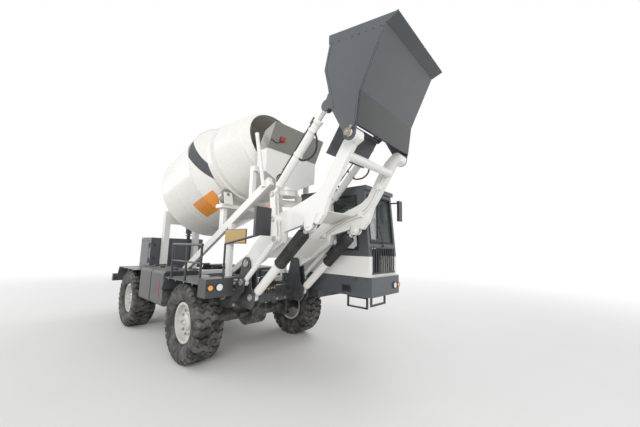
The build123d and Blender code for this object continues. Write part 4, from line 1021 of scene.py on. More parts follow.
@dataclass
class Fasteners:
    """Hexagon bolt heads on washers, which Geometry Nodes set at points with a direction."""

    head_radius: float = 11.0
    head_height: float = 8.0
    seed: int = 7
    discs: tuple[tuple[int, float, float], ...] = ((6, 1.0, 1.0), (16, 1.45, 0.28), (8, 0.52, 1.5))

    def tree(self) -> bpy.types.NodeTree:
        """Build the node group, or give the one that exists.

        Returns:
            The node group. Each disc has its sides, and its radius and height as shares of the head's.
        """
        found = bpy.data.node_groups.get("bolt_heads")
        if found:
            return found
        group = bpy.data.node_groups.new("bolt_heads", "GeometryNodeTree")
        for name, way, kind in (("Points", "INPUT", "Geometry"), ("Head Radius", "INPUT", "Float"),
                                ("Head Height", "INPUT", "Float"), ("Finish", "INPUT", "Material"),
                                ("Bolts", "OUTPUT", "Geometry")):
            group.interface.new_socket(name, in_out=way, socket_type="NodeSocket" + kind)
        graph = Nodes(group)
        entry = graph.add("NodeGroupInput", {})
        radius, height = (Value(graph, entry.outputs[name]) for name in ("Head Radius", "Head Height"))
        join = graph.add("GeometryNodeJoinGeometry", {})
        for sides, wide, tall in self.discs:
            depth = height * tall
            solid = graph.add("GeometryNodeMeshCylinder", {}, Vertices=sides, Radius=radius * wide, Depth=depth)
            lift = graph.add("ShaderNodeCombineXYZ", {}, Z=depth * 0.5)
            moved = graph.add("GeometryNodeTransform", {}, Geometry=solid.outputs["Mesh"],
                              Translation=lift.outputs[0])
            graph.feed(join.inputs[0], moved.outputs["Geometry"])
        out = graph.add("GeometryNodeInputNamedAttribute", {"data_type": "FLOAT_VECTOR"}, Name="out")
        aim = graph.add("FunctionNodeAlignRotationToVector", {"axis": "Z"}, Vector=out.outputs["Attribute"])
        spin = graph.add("FunctionNodeRandomValue", {"data_type": "FLOAT"}, Max=pi / 3, Seed=self.seed)
        turn = graph.add("FunctionNodeAxisAngleToRotation", {}, Axis=(0.0, 0.0, 1.0),
                         Angle=[socket for socket in spin.outputs if socket.enabled][0])
        rotate = graph.add("FunctionNodeRotateRotation", {"rotation_space": "LOCAL"},
                           Rotation=aim.outputs["Rotation"], Rotate_By=turn.outputs["Rotation"])
        scatter = graph.add("GeometryNodeInstanceOnPoints", {}, Points=entry.outputs["Points"],
                            Instance=join.outputs[0], Rotation=rotate.outputs["Rotation"])
        real = graph.add("GeometryNodeRealizeInstances", {}, Geometry=scatter.outputs[0])
        paint = graph.add("GeometryNodeSetMaterial", {}, Geometry=real.outputs[0],
                          Material=entry.outputs["Finish"])
        graph.add("NodeGroupOutput", {}, Bolts=paint.outputs[0])
        return group

    def set(self, name: str, body: str, finish: Finish, places: Places) -> bpy.types.Object:
        """Set bolts at places on one body.

        Args:
            name: The piece's name.
            body: The CAD body that they ride on.
            finish: Their finish.
            places: Points and outward directions.

        Returns:
            The piece.
        """
        points = bpy.data.meshes.new(name + "_points")
        points.from_pydata([point for point, _ in places], [], [])
        out = points.attributes.new("out", "FLOAT_VECTOR", "POINT")
        out.data.foreach_set("vector", [part for _, way in places for part in way.normalized()])
        carrier = add_object(name + "_points", points)
        modifier = carrier.modifiers.new("bolts", "NODES")
        modifier.node_group = self.tree()
        values = {"Head Radius": self.head_radius / 1000, "Head Height": self.head_height / 1000,
                  "Finish": finish.material}
        for item in modifier.node_group.interface.items_tree:
            if item.item_type == "SOCKET" and item.in_out == "INPUT" and item.name in values:
                modifier[item.identifier] = values[item.name]
        ready = carrier.evaluated_get(bpy.context.evaluated_depsgraph_get())
        data = bpy.data.meshes.new_from_object(ready)
        data.name = name
        bpy.data.objects.remove(carrier)
        piece = add_object(name, data)
        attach(piece, body)
        LOG.info("piece %s on %s: %d bolts", name, body, len(places))
        return piece


def ring_places(centre: Vector, axis: Vector, radius: float, count: int, start: float = 0.0) -> Places:
    """Give bolt places on a circle.

    Args:
        centre: The circle's middle.
        axis: The way that the bolts point.
        radius: The circle's radius, in millimetres.
        count: How many bolts there are.
        start: Where the first one is, in degrees.

    Returns:
        Points and directions.
    """
    first = axis.orthogonal().normalized()
    second = axis.normalized().cross(first)
    return [(point, axis) for point in circle(centre, first, second, radius, count, radians(start))]


def line_places(start: Vector, end: Vector, count: int, axis: Vector) -> Places:
    """Give evenly spaced bolt places on a line.

    Args:
        start: The first place.
        end: The last place.
        count: How many bolts there are.
        axis: The way that they point.

    Returns:
        Points and directions.
    """
    return [(start.lerp(end, i / max(count - 1, 1)), axis) for i in range(count)]


@dataclass
class Wheels:
    """Four tyres with block tread, wheel nuts, hub caps and valves."""

    wheelbase: float = 2550.0
    track: float = 2000.0
    radius: float = 537.5
    width: float = 410.0
    carcass: float = 503.0
    bead: float = 254.3
    steps: int = 104
    blocks: int = 30
    zigzag: tuple[Point, ...] = ((-6.0, 0.0), (58.0, 26.0), (112.0, -8.0), (166.0, 24.0), (201.0, 30.0))
    block_foot: float = 88.0
    block_top: float = 76.0
    root: float = 14.0
    shoulder_root: float = 62.0
    shoulder_drop: float = 48.0
    nut_face: float = 78.0
    nut_circle: float = 165.0
    cap_face: float = 125.0
    cap_circle: float = 42.0
    valve: tuple[Point, ...] = ((205.0, 80.0, 40.0), (222.0, 118.0, 44.0))

    def profile(self) -> list[Point]:
        """Give the carcass section.

        Returns:
            Offsets from the middle plane and radii, from bead to bead.
        """
        half = self.width / 2
        side = [(half - 74.3, self.bead), (half - 74.3, 288), (half - 40, 300), (half - 14, 345),
                (half - 2, 392), (half, 420), (half - 6, 455), (half - 22, 486), (half - 50, self.carcass)]
        return side + [(-y, r) for y, r in side[::-1]]

    def spot(self, axle: float, hand: int, offset: float = 0.0, x: float = 0.0, z: float = 0.0) -> Vector:
        """Give a point on a wheel.

        Args:
            axle: Where its axle is.
            hand: -1 on the right, 1 on the left.
            offset: Distance outside the wheel's middle plane.
            x: Distance ahead of the axle.
            z: Distance above the axle.

        Returns:
            The point.
        """
        return at(axle + x, hand * (self.track / 2 + offset), self.radius + z)

    def block_ring(self, shape: Shape, centre: Vector, middle: float, side: int, step: int) -> list:
        """Add one cross section of a tread block.

        Args:
            shape: The tyre.
            centre: The wheel's middle.
            middle: The block's angle round the wheel.
            side: -1 or 1, for the half of the tread towards the right or the left.
            step: Which point of the zigzag it is at.

        Returns:
            The section's four vertices, foot first.
        """
        across, shift = self.zigzag[step]
        outer = step == len(self.zigzag) - 1
        foot = self.carcass - (self.shoulder_root if outer else self.root)
        top = self.radius - (self.shoulder_drop if outer else 0.0)
        corners = []
        for edge, r, length in ((-1, foot, self.block_foot), (1, foot, self.block_foot),
                                (1, top, self.block_top), (-1, top, self.block_top)):
            angle = middle + (shift + edge * length / 2) / self.radius
            corners.append(centre + Vector((cos(angle) * r, side * across, sin(angle) * r)) / 1000)
        return shape.ring(corners)

    def build_tyre(self, name: str, centre: Vector, hand: int) -> None:
        """Build one tyre in place of its CAD node.

        Args:
            name: The wheel's name.
            centre: The wheel's middle.
            hand: -1 on the right, 1 on the left.
        """
        shape = Shape()
        section = self.profile()
        rings = []
        for i in range(self.steps):
            angle = 2 * pi * i / self.steps
            rings.append(shape.ring(
                [centre + Vector((cos(angle) * r, y, sin(angle) * r)) / 1000 for y, r in section]
            ))
        for i, ring in enumerate(rings):
            shape.bridge(ring, rings[(i + 1) % self.steps])
        for row in SIDES:
            for i in range(self.blocks):
                middle = (i + (0.5 if row > 0 else 0.0)) * 2 * pi / self.blocks
                previous = self.block_ring(shape, centre, middle, row * hand, 0)
                shape.mesh.faces.new(previous)
                for step in range(1, len(self.zigzag)):
                    corners = self.block_ring(shape, centre, middle, row * hand, step)
                    shape.bridge(previous, corners)
                    previous = corners
                shape.mesh.faces.new(previous[::-1])
        tyre = shape.piece(f"{name}_tread", f"{name}_wheel", Finish.TYRE, 4.0)
        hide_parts(f"{name}_tyre")

    def build(self) -> None:
        """Build the tyres and dress the rims."""
        nuts, small = Fasteners(15.0, 17.0), Fasteners(8.0, 6.0)
        for end, axle in (("front", 0.0), ("rear", -self.wheelbase)):
            for side, hand in zip(("right", "left"), SIDES):
                name, out = f"{end}_{side}", OUT_Y * hand
                self.build_tyre(name, self.spot(axle, hand), hand)
                places = ring_places(self.spot(axle, hand, self.nut_face), out, self.nut_circle, 10)
                nuts.set(f"{name}_wheel_nuts", f"{name}_wheel", Finish.BOLT, places)
                places = ring_places(self.spot(axle, hand, self.cap_face), out, self.cap_circle, 6)
                small.set(f"{name}_hub_bolts", f"{name}_wheel", Finish.BOLT, places)
                foot, tip = (self.spot(axle, hand, offset, x, z) for x, offset, z in self.valve)
                Shape().rod(foot, tip, 5.0, 10).piece(f"{name}_valve", f"{name}_wheel", Finish.BRASS)


@dataclass
class BoomDress:
    """Weld beads and clamped hard pipes on the boom, and bronze keepers on the bucket's pins."""

    inner_faces: tuple[tuple[str, float, int], ...] = (("right", -670.0, 1), ("left", 150.0, -1))
    tube: Point = (2462.0, 2560.0)
    tube_radius: float = 48.0
    bucket_pin: Point = (2570.0, 2725.0)
    ears: tuple[Point, ...] = ((-851.0, -1), (331.0, 1))
    route: tuple[Point, ...] = (
        (1060, 1500), (1450, 1820), (1800, 2000), (2060, 2090), (2200, 2200), (2330, 2420), (2420, 2600),
    )
    pipe_radius: float = 9.0
    pipe_steps: tuple[float, float] = (0.0, 34.0)
    pipe_gap: float = 16.0
    clamp_depth: float = 27.0

    def welds(self) -> None:
        """Lay the weld beads where the cross tube meets the arms."""
        beads, r = Shape(), self.tube_radius
        profile = [(0, r - 1), (0, r + 10), (5, r + 8), (9, r + 3), (10, r - 1)]
        for _, y, way in self.inner_faces:
            beads.turned(at(self.tube[0], y, self.tube[1]), OUT_Y * way, profile, 40)
        beads.piece("boom_weld_beads", "boom", Finish.WELD)

    def pipes(self) -> None:
        """Clamp the hard pipes along the arms' inner faces."""
        for side, y, way in self.inner_faces:
            pipes, clamps = Shape(), Shape()
            for lift in self.pipe_steps:
                route = [at(x + lift * 0.5, y + way * self.pipe_gap, z - lift) for x, z in self.route]
                pipes.pipe(route, self.pipe_radius, 10, 6)
            for x, z in self.route[1:-1:2]:
                clamps.block((x - 22, x + 40), sorted((y, y + way * self.clamp_depth)), (z - 60, z + 24))
            pipes.piece(f"boom_pipes_{side}", "boom", Finish.WHITE)
            clamps.piece(f"boom_pipe_clamps_{side}", "boom", Finish.WHITE, 3.0)

    def keepers(self) -> None:
        """Fix the keepers, their flags and bolts to the bucket's pins."""
        x, z = self.bucket_pin
        profile = [(0, 0), (0, 39), (3, 41), (9, 41), (12, 38), (12, 0)]
        flag = ((6, 30), (30, 6), (60, 40), (40, 62))
        bolts, plates = [], Shape()
        for y, way in self.ears:
            plates.turned(at(x, y, z), OUT_Y * way, profile, 36)
            low, high = sorted((y, y + way * 8))
            plates.prism([at(x + dx, low, z + dz) for dx, dz in flag], OUT_Y * ((high - low) / 1000))
            bolts += [(at(x + 42, y + way * 8, z + 44), OUT_Y * way), (at(x, y + way * 12, z), OUT_Y * way)]
        plates.piece("bucket_pin_keepers", "bucket", Finish.BRONZE, 1.5)
        Fasteners(9.0, 7.0).set("bucket_keeper_bolts", "bucket", Finish.BOLT, bolts)

    def build(self) -> None:
        """Build everything on the boom."""
        self.welds()
        self.pipes()
        self.keepers()


@dataclass
class StandDress:
    """Pin keeper plates, pipe fittings, a small valve bank and bolts on the boom stand."""

    pins: tuple[Point, ...] = (
        (870.0, 1390.0, -756.0, 236.0, 52.0), (1000.0, 965.0, -756.0, 236.0, 46.0),
        (910.0, 1155.0, -844.0, 324.0, 44.0),
    )
    face: float = 750.0
    fittings: tuple[Point, ...] = ((-198.0, 1020.0), (-250.0, 1020.0), (-306.0, 1008.0))
    bank: tuple[tuple[Point, Point, Point], ...] = (
        ((600, 690), (-340, -110), (1040, 1150)), ((610, 680), (-330, -120), (1150, 1172)),
    )
    unions: int = 5
    union_start: float = -310.0
    union_step: float = 42.0
    line: tuple[Point, ...] = (
        (722, 0, 1108), (744, 0, 1106), (756, -6, 1078), (754, -10, 1020), (752, -12, 940),
    )
    base_height: float = 850.0
    base_bolts: Point = (-830.0, -600.0, -420.0, -100.0, 60.0, 200.0, 310.0)

    def keepers(self) -> None:
        """Cover the pins' ends with bolted discs."""
        discs, bolts = Shape(), []
        for x, z, right, left, radius in self.pins:
            profile = [(0, 0), (0, radius), (9, radius), (13, radius - 4), (13, 14), (8, 10), (8, 0)]
            for y, way in zip((right, left), SIDES):
                discs.turned(at(x, y, z), OUT_Y * way, profile, 36)
                bolts += ring_places(at(x, y + way * 13, z), OUT_Y * way, radius * 0.62, 4, 45)
        discs.piece("stand_pin_keepers", "chassis", Finish.STEEL, 1.0)
        Fasteners(7.0, 6.0).set("stand_keeper_bolts", "chassis", Finish.BOLT, bolts)

    def build(self) -> None:
        """Build the keepers, the fittings, the valve bank and the base bolts."""
        self.keepers()
        fittings, bank, unions, lines = Shape(), Shape(), Shape(), Shape()
        hexagon = [(0, 0), (0, 16), (14, 16), (14, 12), (30, 12), (30, 15), (52, 15), (52, 0)]
        for y, z in self.fittings:
            fittings.turned(at(self.face, y, z), OUT_X, hexagon, 6)
        fittings.piece("stand_fittings", "chassis", Finish.BRASS, 1.0)
        for sides in self.bank:
            bank.block(*sides)
        hexagon = [(0, 0), (0, 13), (12, 13), (12, 10), (22, 10), (22, 13), (36, 13), (36, 0)]
        for k in range(self.unions):
            y = self.union_start + k * self.union_step
            unions.turned(at(self.bank[0][0][1], y, self.line[0][2]), OUT_X, hexagon, 6)
            lines.pipe([at(x, y + shift, z) for x, shift, z in self.line], 8.0, 10, 6)
        bank.piece("valve_bank", "chassis", Finish.BLACK, 4.0)
        unions.piece("valve_bank_unions", "chassis", Finish.BRASS, 1.0)
        lines.piece("valve_bank_lines", "chassis", Finish.HOSE)
        Fasteners(13.0, 11.0).set("stand_base_bolts", "chassis", Finish.BOLT,
                                  [(at(self.face, y, self.base_height), OUT_X) for y in self.base_bolts])


@dataclass
class CylinderDress:
    """Rings, port blocks, hard pipes and pipe bends along the tilt cylinders' barrels."""

    base: Point = (1435.0, 2250.0)
    eye: Point = (2264.0, 3108.0)
    barrels: tuple[tuple[str, float, int], ...] = (("right", -790.0, -1), ("left", 270.0, 1))
    rings: Point = (135.0, 560.0, 880.0)
    blocks: tuple[Point, ...] = ((925.0, 96.0), (150.0, 60.0))
    clamps: Point = (300.0, 560.0, 800.0)
    pipe: tuple[Point, ...] = (
        (935, 70, -8), (900, 92, -8), (600, 96, -8), (330, 96, -8), (215, 92, -8), (185, 70, -8),
    )
    bend: tuple[Point, ...] = (
        (560, -44), (556, -70), (580, -120), (660, -190), (760, -200), (850, -130), (884, -70), (890, -48),
    )
    port_bend: tuple[Point, ...] = ((165, 84, 6), (176, 104, 8), (215, 104, 8), (240, 84, 4), (262, 52, 0))
    block_bolts: tuple[Point, ...] = ((945, 84, -14), (945, 84, 14), (1005, 84, -14), (1005, 84, 14))

    def dress(self, side: str, y: float, way: int) -> None:
        """Dress one barrel.

        Args:
            side: Its side, as its pieces' names say it.
            y: Its axis's Y.
            way: -1 on the right, 1 on the left.
        """
        ahead = Vector((self.eye[0] - self.base[0], self.eye[1] - self.base[1])).normalized()

        def spot(along: float, away: float, shift: float = 0.0) -> Vector:
            """Give a point by its distances along, above and outside the barrel's axis."""
            return at(self.base[0] + ahead.x * along - ahead.y * away, y + way * shift,
                      self.base[1] + ahead.y * along + ahead.x * away)

        rings, block, pipe, bends = Shape(), Shape(), Shape(), Shape()
        axis, above = spot(200, 0) - spot(0, 0), spot(0, 100) - spot(0, 0)
        for along in self.rings:
            rings.turned(spot(along, 0), axis, [(0, 46), (0, 53), (3, 55), (23, 55), (26, 53), (26, 46)], 40)
        rings.piece(f"tilt_barrel_rings_{side}", "tilt_barrels", Finish.WHITE)
        for along, length in self.blocks:
            outline = [spot(along, 44, -26), spot(along + length, 44, -26), spot(along + length, 84, -26),
                       spot(along + 14, 84, -26)]
            block.prism(outline, OUT_Y * (way * 0.052))
        block.piece(f"tilt_valve_blocks_{side}", "tilt_barrels", Finish.BLACK, 4.0)
        pipe.pipe([spot(*point) for point in self.pipe], 8.0, 10, 6)
        for along in self.clamps:
            outline = [spot(*corner, -18) for corner in rectangle((along, along + 26), (46, 104))]
            pipe.prism(outline, OUT_Y * (way * 0.020))
        pipe.piece(f"tilt_pipe_{side}", "tilt_barrels", Finish.BLACK)
        bends.pipe([spot(*point) for point in self.bend], 11.0, 12, 8)
        bends.pipe([spot(*point) for point in self.port_bend], 9.0, 12, 8)
        bends.piece(f"tilt_hoses_{side}", "tilt_barrels", Finish.HOSE)
        Fasteners(7.0, 6.0).set(f"tilt_block_bolts_{side}", "tilt_barrels", Finish.BOLT,
                                [(spot(*point), above) for point in self.block_bolts])

    def build(self) -> None:
        """Dress both barrels."""
        for side, y, way in self.barrels:
            self.dress(side, y, way)


@dataclass
class RockerDress:
    """Caps, keeper bolts and grease nipples on the rockers' pins."""

    pins: tuple[Point, ...] = (
        (1470.0, 1945.0, -831.0, 311.0), (1435.0, 2250.0, -827.0, 307.0), (1510.0, 1710.0, -827.0, 307.0),
    )
    cap: tuple[Point, ...] = ((0, 0), (0, 34), (6, 34), (9, 31), (9, 0))
    nipple: tuple[Point, ...] = ((0, 0), (0, 5), (8, 5), (10, 3), (15, 3), (16, 0))

    def build(self) -> None:
        """Build the caps, bolts and nipples."""
        discs, nipples, bolts = Shape(), Shape(), []
        thick = self.cap[-1][0]
        for x, z, right, left in self.pins:
            for y, way in zip((right, left), SIDES):
                out = OUT_Y * way
                discs.turned(at(x, y, z), out, self.cap, 32)
                bolts += [(at(x + dx, y + way * thick, z + dz), out) for dx, dz in ((15, 12), (-15, -12))]
                nipples.turned(at(x - 10, y + way * thick, z + 12), out, self.nipple, 10)
        discs.piece("rocker_pin_caps", "rockers", Finish.STEEL, 1.0)
        nipples.piece("rocker_grease_nipples", "rockers", Finish.BRASS)
        Fasteners(6.0, 5.0).set("rocker_keeper_bolts", "rockers", Finish.BOLT, bolts)


@dataclass
class BucketDress:
    """Cutting edge bolts and weld beads on the bucket's side plates."""

    sides: tuple[Point, ...] = ((-825.0, -1), (305.0, 1))
    edge: tuple[Point, Point] = ((2345.0, 3780.0), (2920.0, 3665.0))
    front_seam: tuple[Point, ...] = ((2523, 2711), (2633, 2806), (2681, 3116), (2778, 3326), (2938, 3666))
    back_seam: tuple[Point, ...] = ((2371, 3040), (2308, 3330), (2262, 3515), (2326, 3780))

    def build(self) -> None:
        """Build the bolts and beads."""
        bolts, seams = [], Shape()
        for y, way in self.sides:
            bolts += line_places(*(at(x, y, z) for x, z in self.edge), 8, OUT_Y * way)
            for seam in (self.front_seam, self.back_seam):
                seams.pipe([at(x, y + way, z) for x, z in seam], 6.0, 8, 10)
        Fasteners(8.0, 5.0).set("bucket_edge_bolts", "bucket", Finish.SLATE, bolts)
        seams.piece("bucket_side_seams", "bucket", Finish.SLATE)


@dataclass
class DrumDress:
    """Weld rings on the drum shell, the bolted rear flange and the drive's bolts."""

    shell_rings: Point = (-1750.0, -1150.0, -560.0)
    shell_radius: float = 955.0
    cone_ring: float = -2350.0
    cone_profile: tuple[Point, ...] = ((-9, 645), (-6, 657), (0, 662), (6, 664), (11, 660))
    flange: tuple[float, float, int] = (-2900.0, 262.0, 16)
    drive: tuple[tuple[float, float, int], ...] = ((-3190.0, 160.0, 12), (-3370.0, 70.0, 6))

    @property
    def axis(self) -> Vector:
        """The drum's axis, pointing to its mouth."""
        return Vector((cos(DRUM_TILT), 0, sin(DRUM_TILT)))

    def on_axis(self, distance: float) -> Vector:
        """Give a point on the drum's axis."""
        return at(*DRUM_RING) + self.axis * (distance / 1000)

    def bolts(self, distance: float, radius: float, count: int) -> Places:
        """Give the places of a ring of bolts that point backwards."""
        return ring_places(self.on_axis(distance), self.axis * -1, radius, count)

    def build(self) -> None:
        """Build the rings and bolts."""
        rings, r = Shape(), self.shell_radius
        for distance in self.shell_rings:
            rings.turned(self.on_axis(distance), self.axis,
                         [(-9, r - 4), (-7, r + 3), (0, r + 5), (7, r + 3), (9, r - 4)], 120)
        rings.turned(self.on_axis(self.cone_ring), self.axis, self.cone_profile, 120)
        rings.piece("drum_weld_rings", "drum", Finish.DRUM)
        Fasteners(14.0, 11.0).set("drum_flange_bolts", "drum", Finish.BOLT, self.bolts(*self.flange))
        Fasteners(11.0, 9.0).set("reducer_bolts", "chassis", Finish.BOLT,
                                 [place for ring in self.drive for place in self.bolts(*ring)])


@dataclass
class HopperDress:
    """The flare's rim bolts, the red lamp and its cable, the fold's bead and the blank plate below."""

    half: float = 515.0
    fold: Point = (880.0, 3050.0)
    rim: Point = (1060.0, 3410.0)
    lamp: Point = (-307.0, 3217.0)
    cable: tuple[Point, ...] = ((-300, 3190, 8), (-395, 3150, 9), (-480, 3172, 9), (-505, 3160, 8))
    rim_bolt_height: float = 3385.0
    rim_bolts: range = range(-460, 461, 115)
    plate: tuple[Point, Point, Point] = ((84, 640), (-640, -634), (1660, 1855))
    plate_back: tuple[Point, Point, Point] = ((74, 650), (-634, -622), (1650, 1865))

    def face(self, y: float, z: float, out: float = 0.0) -> Vector:
        """Give a point on the front flare's outer face.

        Args:
            y: Its Y.
            z: Its height.
            out: How far it stands off the face.

        Returns:
            The point, in metres.
        """
        lean = (self.rim[0] - self.fold[0]) / (self.rim[1] - self.fold[1])
        norm = sqrt(1 + lean * lean)
        x = self.fold[0] + lean * (z - self.fold[1])
        return at(x + out / norm, y, z - out * lean / norm)

    def build(self) -> None:
        """Build the lamp, cable, bead, bolts and plate."""
        way = (self.face(0, 3200, 100) - self.face(0, 3200)).normalized()
        base, lens, cable, bead, plate, back = (Shape() for _ in range(6))
        y, z = self.lamp
        for shape, half_y, half_z, low, high in ((base, 52, 30, 0, 10), (lens, 45, 23, 10, 30)):
            corners = rectangle((y - half_y, y + half_y), (z - half_z, z + half_z))
            shape.prism([self.face(*corner, low) for corner in corners], way * ((high - low) / 1000))
        base.piece("hopper_lamp_base", "chassis", Finish.BLACK, 3.0)
        lens.piece("hopper_lamp_lens", "chassis", Finish.RED, 8.0, 3)
        cable.pipe([self.face(*point) for point in self.cable], 6.0)
        cable.piece("hopper_lamp_cable", "chassis", Finish.HOSE)
        ends = [at(self.fold[0] - 2, side * (self.half - 5), self.fold[1]) for side in SIDES]
        bead.rod(*ends, 8.0, 12)
        bead.piece("hopper_fold_bead", "chassis", Finish.WHITE)
        Fasteners(9.0, 7.0).set("hopper_rim_bolts", "chassis", Finish.BOLT,
                                [(self.face(y, self.rim_bolt_height), way) for y in self.rim_bolts])
        plate.block(*self.plate)
        back.block(*self.plate_back)
        plate.piece("blank_plate", "chassis", Finish.OCHRE, 4.0)
        back.piece("blank_plate_back", "chassis", Finish.BLACK, 2.0)


@dataclass
class CabDress:
    """Window seals, wiper, perforated ledge, skirt slot, lamp bezels, door handle and skirt bolts."""

    right: float = 390.0
    left: float = 1180.0
    seal_width: float = 26.0
    side_window: tuple[Point, ...] = ((856, 1596), (1884, 1596), (1834, 2394), (856, 2394))
    windscreen: tuple[Point, Point] = ((446, 1124), (1696, 2404))
    rear_window: tuple[Point, Point] = ((466, 1104), (1596, 2394))
    door_window: tuple[Point, Point] = ((1081, 1719), (1596, 2354))
    rear_face: float = 704.0
    ledge_box: tuple[Point, Point, Point] = ((2050, 2090), (392, 1178), (1235, 1240))
    slot_box: tuple[Point, Point, Point] = ((1616, 1740), (387, 391), (1026, 1096))
    slot_frame: tuple[Point, Point] = ((1600, 1756), (1010, 1112))
    lamp_height: float = 1095.0
    lamp_places: tuple[Point, ...] = ((760, -1180, 34), (760, -1060, 44), (2092, 1140, 34), (2092, 1030, 44))
    handle: tuple[Point, ...] = ((1720, 0), (1720, 8), (1700, 16), (1610, 16), (1590, 8), (1590, 0))
    wiper_boss: Point = (785.0, 1662.0)
    wiper_end: Point = (690.0, 2050.0)
    blade: tuple[Point, Point] = ((660.0, 1780.0), (720.0, 2290.0))
    lock: Point = (1745.0, 1430.0)
    handle_height: float = 1480.0
    bolt_height: float = 1200.0
    bolt_rows: tuple[Point, Point] = ((760.0, 2020.0), (760.0, 960.0))
    screen_foot: Point = (2050.0, 1516.0)
    screen_lean: Point = (90.0, 944.0)

    def front(self, y: float, z: float, out: float = 0.0) -> Vector:
        """Give a point on the windscreen wall's outer face, in metres, or this far outside it."""
        x, foot = self.screen_foot
        return at(x - (z - foot) * self.screen_lean[0] / self.screen_lean[1] + out, y, z)

    def seals(self) -> None:
        """Frame the windows."""
        seal, door = Shape(), Shape()
        seal.frame([at(x, self.right + 4, z) for x, z in self.side_window], self.seal_width, OUT_Y * -0.010)
        seal.frame([self.front(y, z, -8) for y, z in rectangle(*self.windscreen)], self.seal_width,
                   OUT_X * 0.014)
        seal.frame([at(self.rear_face, y, z) for y, z in rectangle(*self.rear_window)], self.seal_width,
                   OUT_X * -0.010)
        seal.piece("cab_window_seals", "chassis", Finish.SEAL, 3.0)
        door.frame([at(x, self.left - 4, z) for x, z in rectangle(*self.door_window)], self.seal_width,
                   OUT_Y * 0.010)
        door.piece("door_window_seal", "cab_door", Finish.SEAL, 3.0)

    def wiper(self) -> None:
        """Fit the wiper."""
        arm, blade = Shape(), Shape()
        arm.rod(self.front(*self.wiper_boss, 0), self.front(*self.wiper_boss, 20), 16.0)
        arm.rod(self.front(*self.wiper_boss, 18), self.front(*self.wiper_end, 12), 6.0, 10)
        blade.rod(*(self.front(*end, 3) for end in self.blade), 6.0, 8)
        arm.piece("wiper_arm", "chassis", Finish.BLACK)
        blade.piece("wiper_blade", "chassis", Finish.SEAL)

    def ledge(self) -> None:
        """Lay the perforated ledge ahead of the windscreen and frame the slot in the skirt's right side."""
        ledge, slot, frame = Shape(), Shape(), Shape()
        ledge.block(*self.ledge_box)
        ledge.piece("cab_ledge", "chassis", Finish.GRID, 1.5)
        slot.block(*self.slot_box)
        slot.piece("skirt_slot", "chassis", Finish.SEAL, 2.0)
        corners = [at(x, self.right - 1, z) for x, z in rectangle(*self.slot_frame)]
        frame.frame(corners, 14, OUT_Y * -0.006)
        frame.piece("skirt_slot_frame", "chassis", Finish.BLACK, 1.5)

    def lamps(self) -> None:
        """Ring the lamps."""
        bezels = Shape()
        for x, y, r in self.lamp_places:
            profile = [(0, r - 2), (0, r + 9), (14, r + 7), (20, r + 2), (20, r - 2)]
            bezels.turned(at(x, y, self.lamp_height), OUT_X, profile, 40)
        bezels.piece("lamp_bezels", "chassis", Finish.BLACK)

    def door(self) -> None:
        """Fit the door's handle and lock."""
        handle = Shape().pipe([at(x, self.left + out, self.handle_height) for x, out in self.handle], 8.0)
        x, z = self.lock
        handle.turned(at(x, self.left - 2, z), OUT_Y, [(0, 0), (0, 16), (8, 16), (11, 12), (11, 0)], 24)
        handle.piece("door_handle", "cab_door", Finish.BLACK)

    def build(self) -> None:
        """Build everything on the cab."""
        self.seals()
        self.wiper()
        self.ledge()
        self.lamps()
        self.door()
        bolts = []
        for y, count, ends, way in zip((self.right - 1, self.left + 1), (8, 2), self.bolt_rows, SIDES):
            back, ahead = (at(x, y, self.bolt_height) for x in ends)
            bolts += line_places(back, ahead, count, OUT_Y * way)
        Fasteners(9.0, 7.0).set("cab_skirt_bolts", "chassis", Finish.SLATE, bolts)


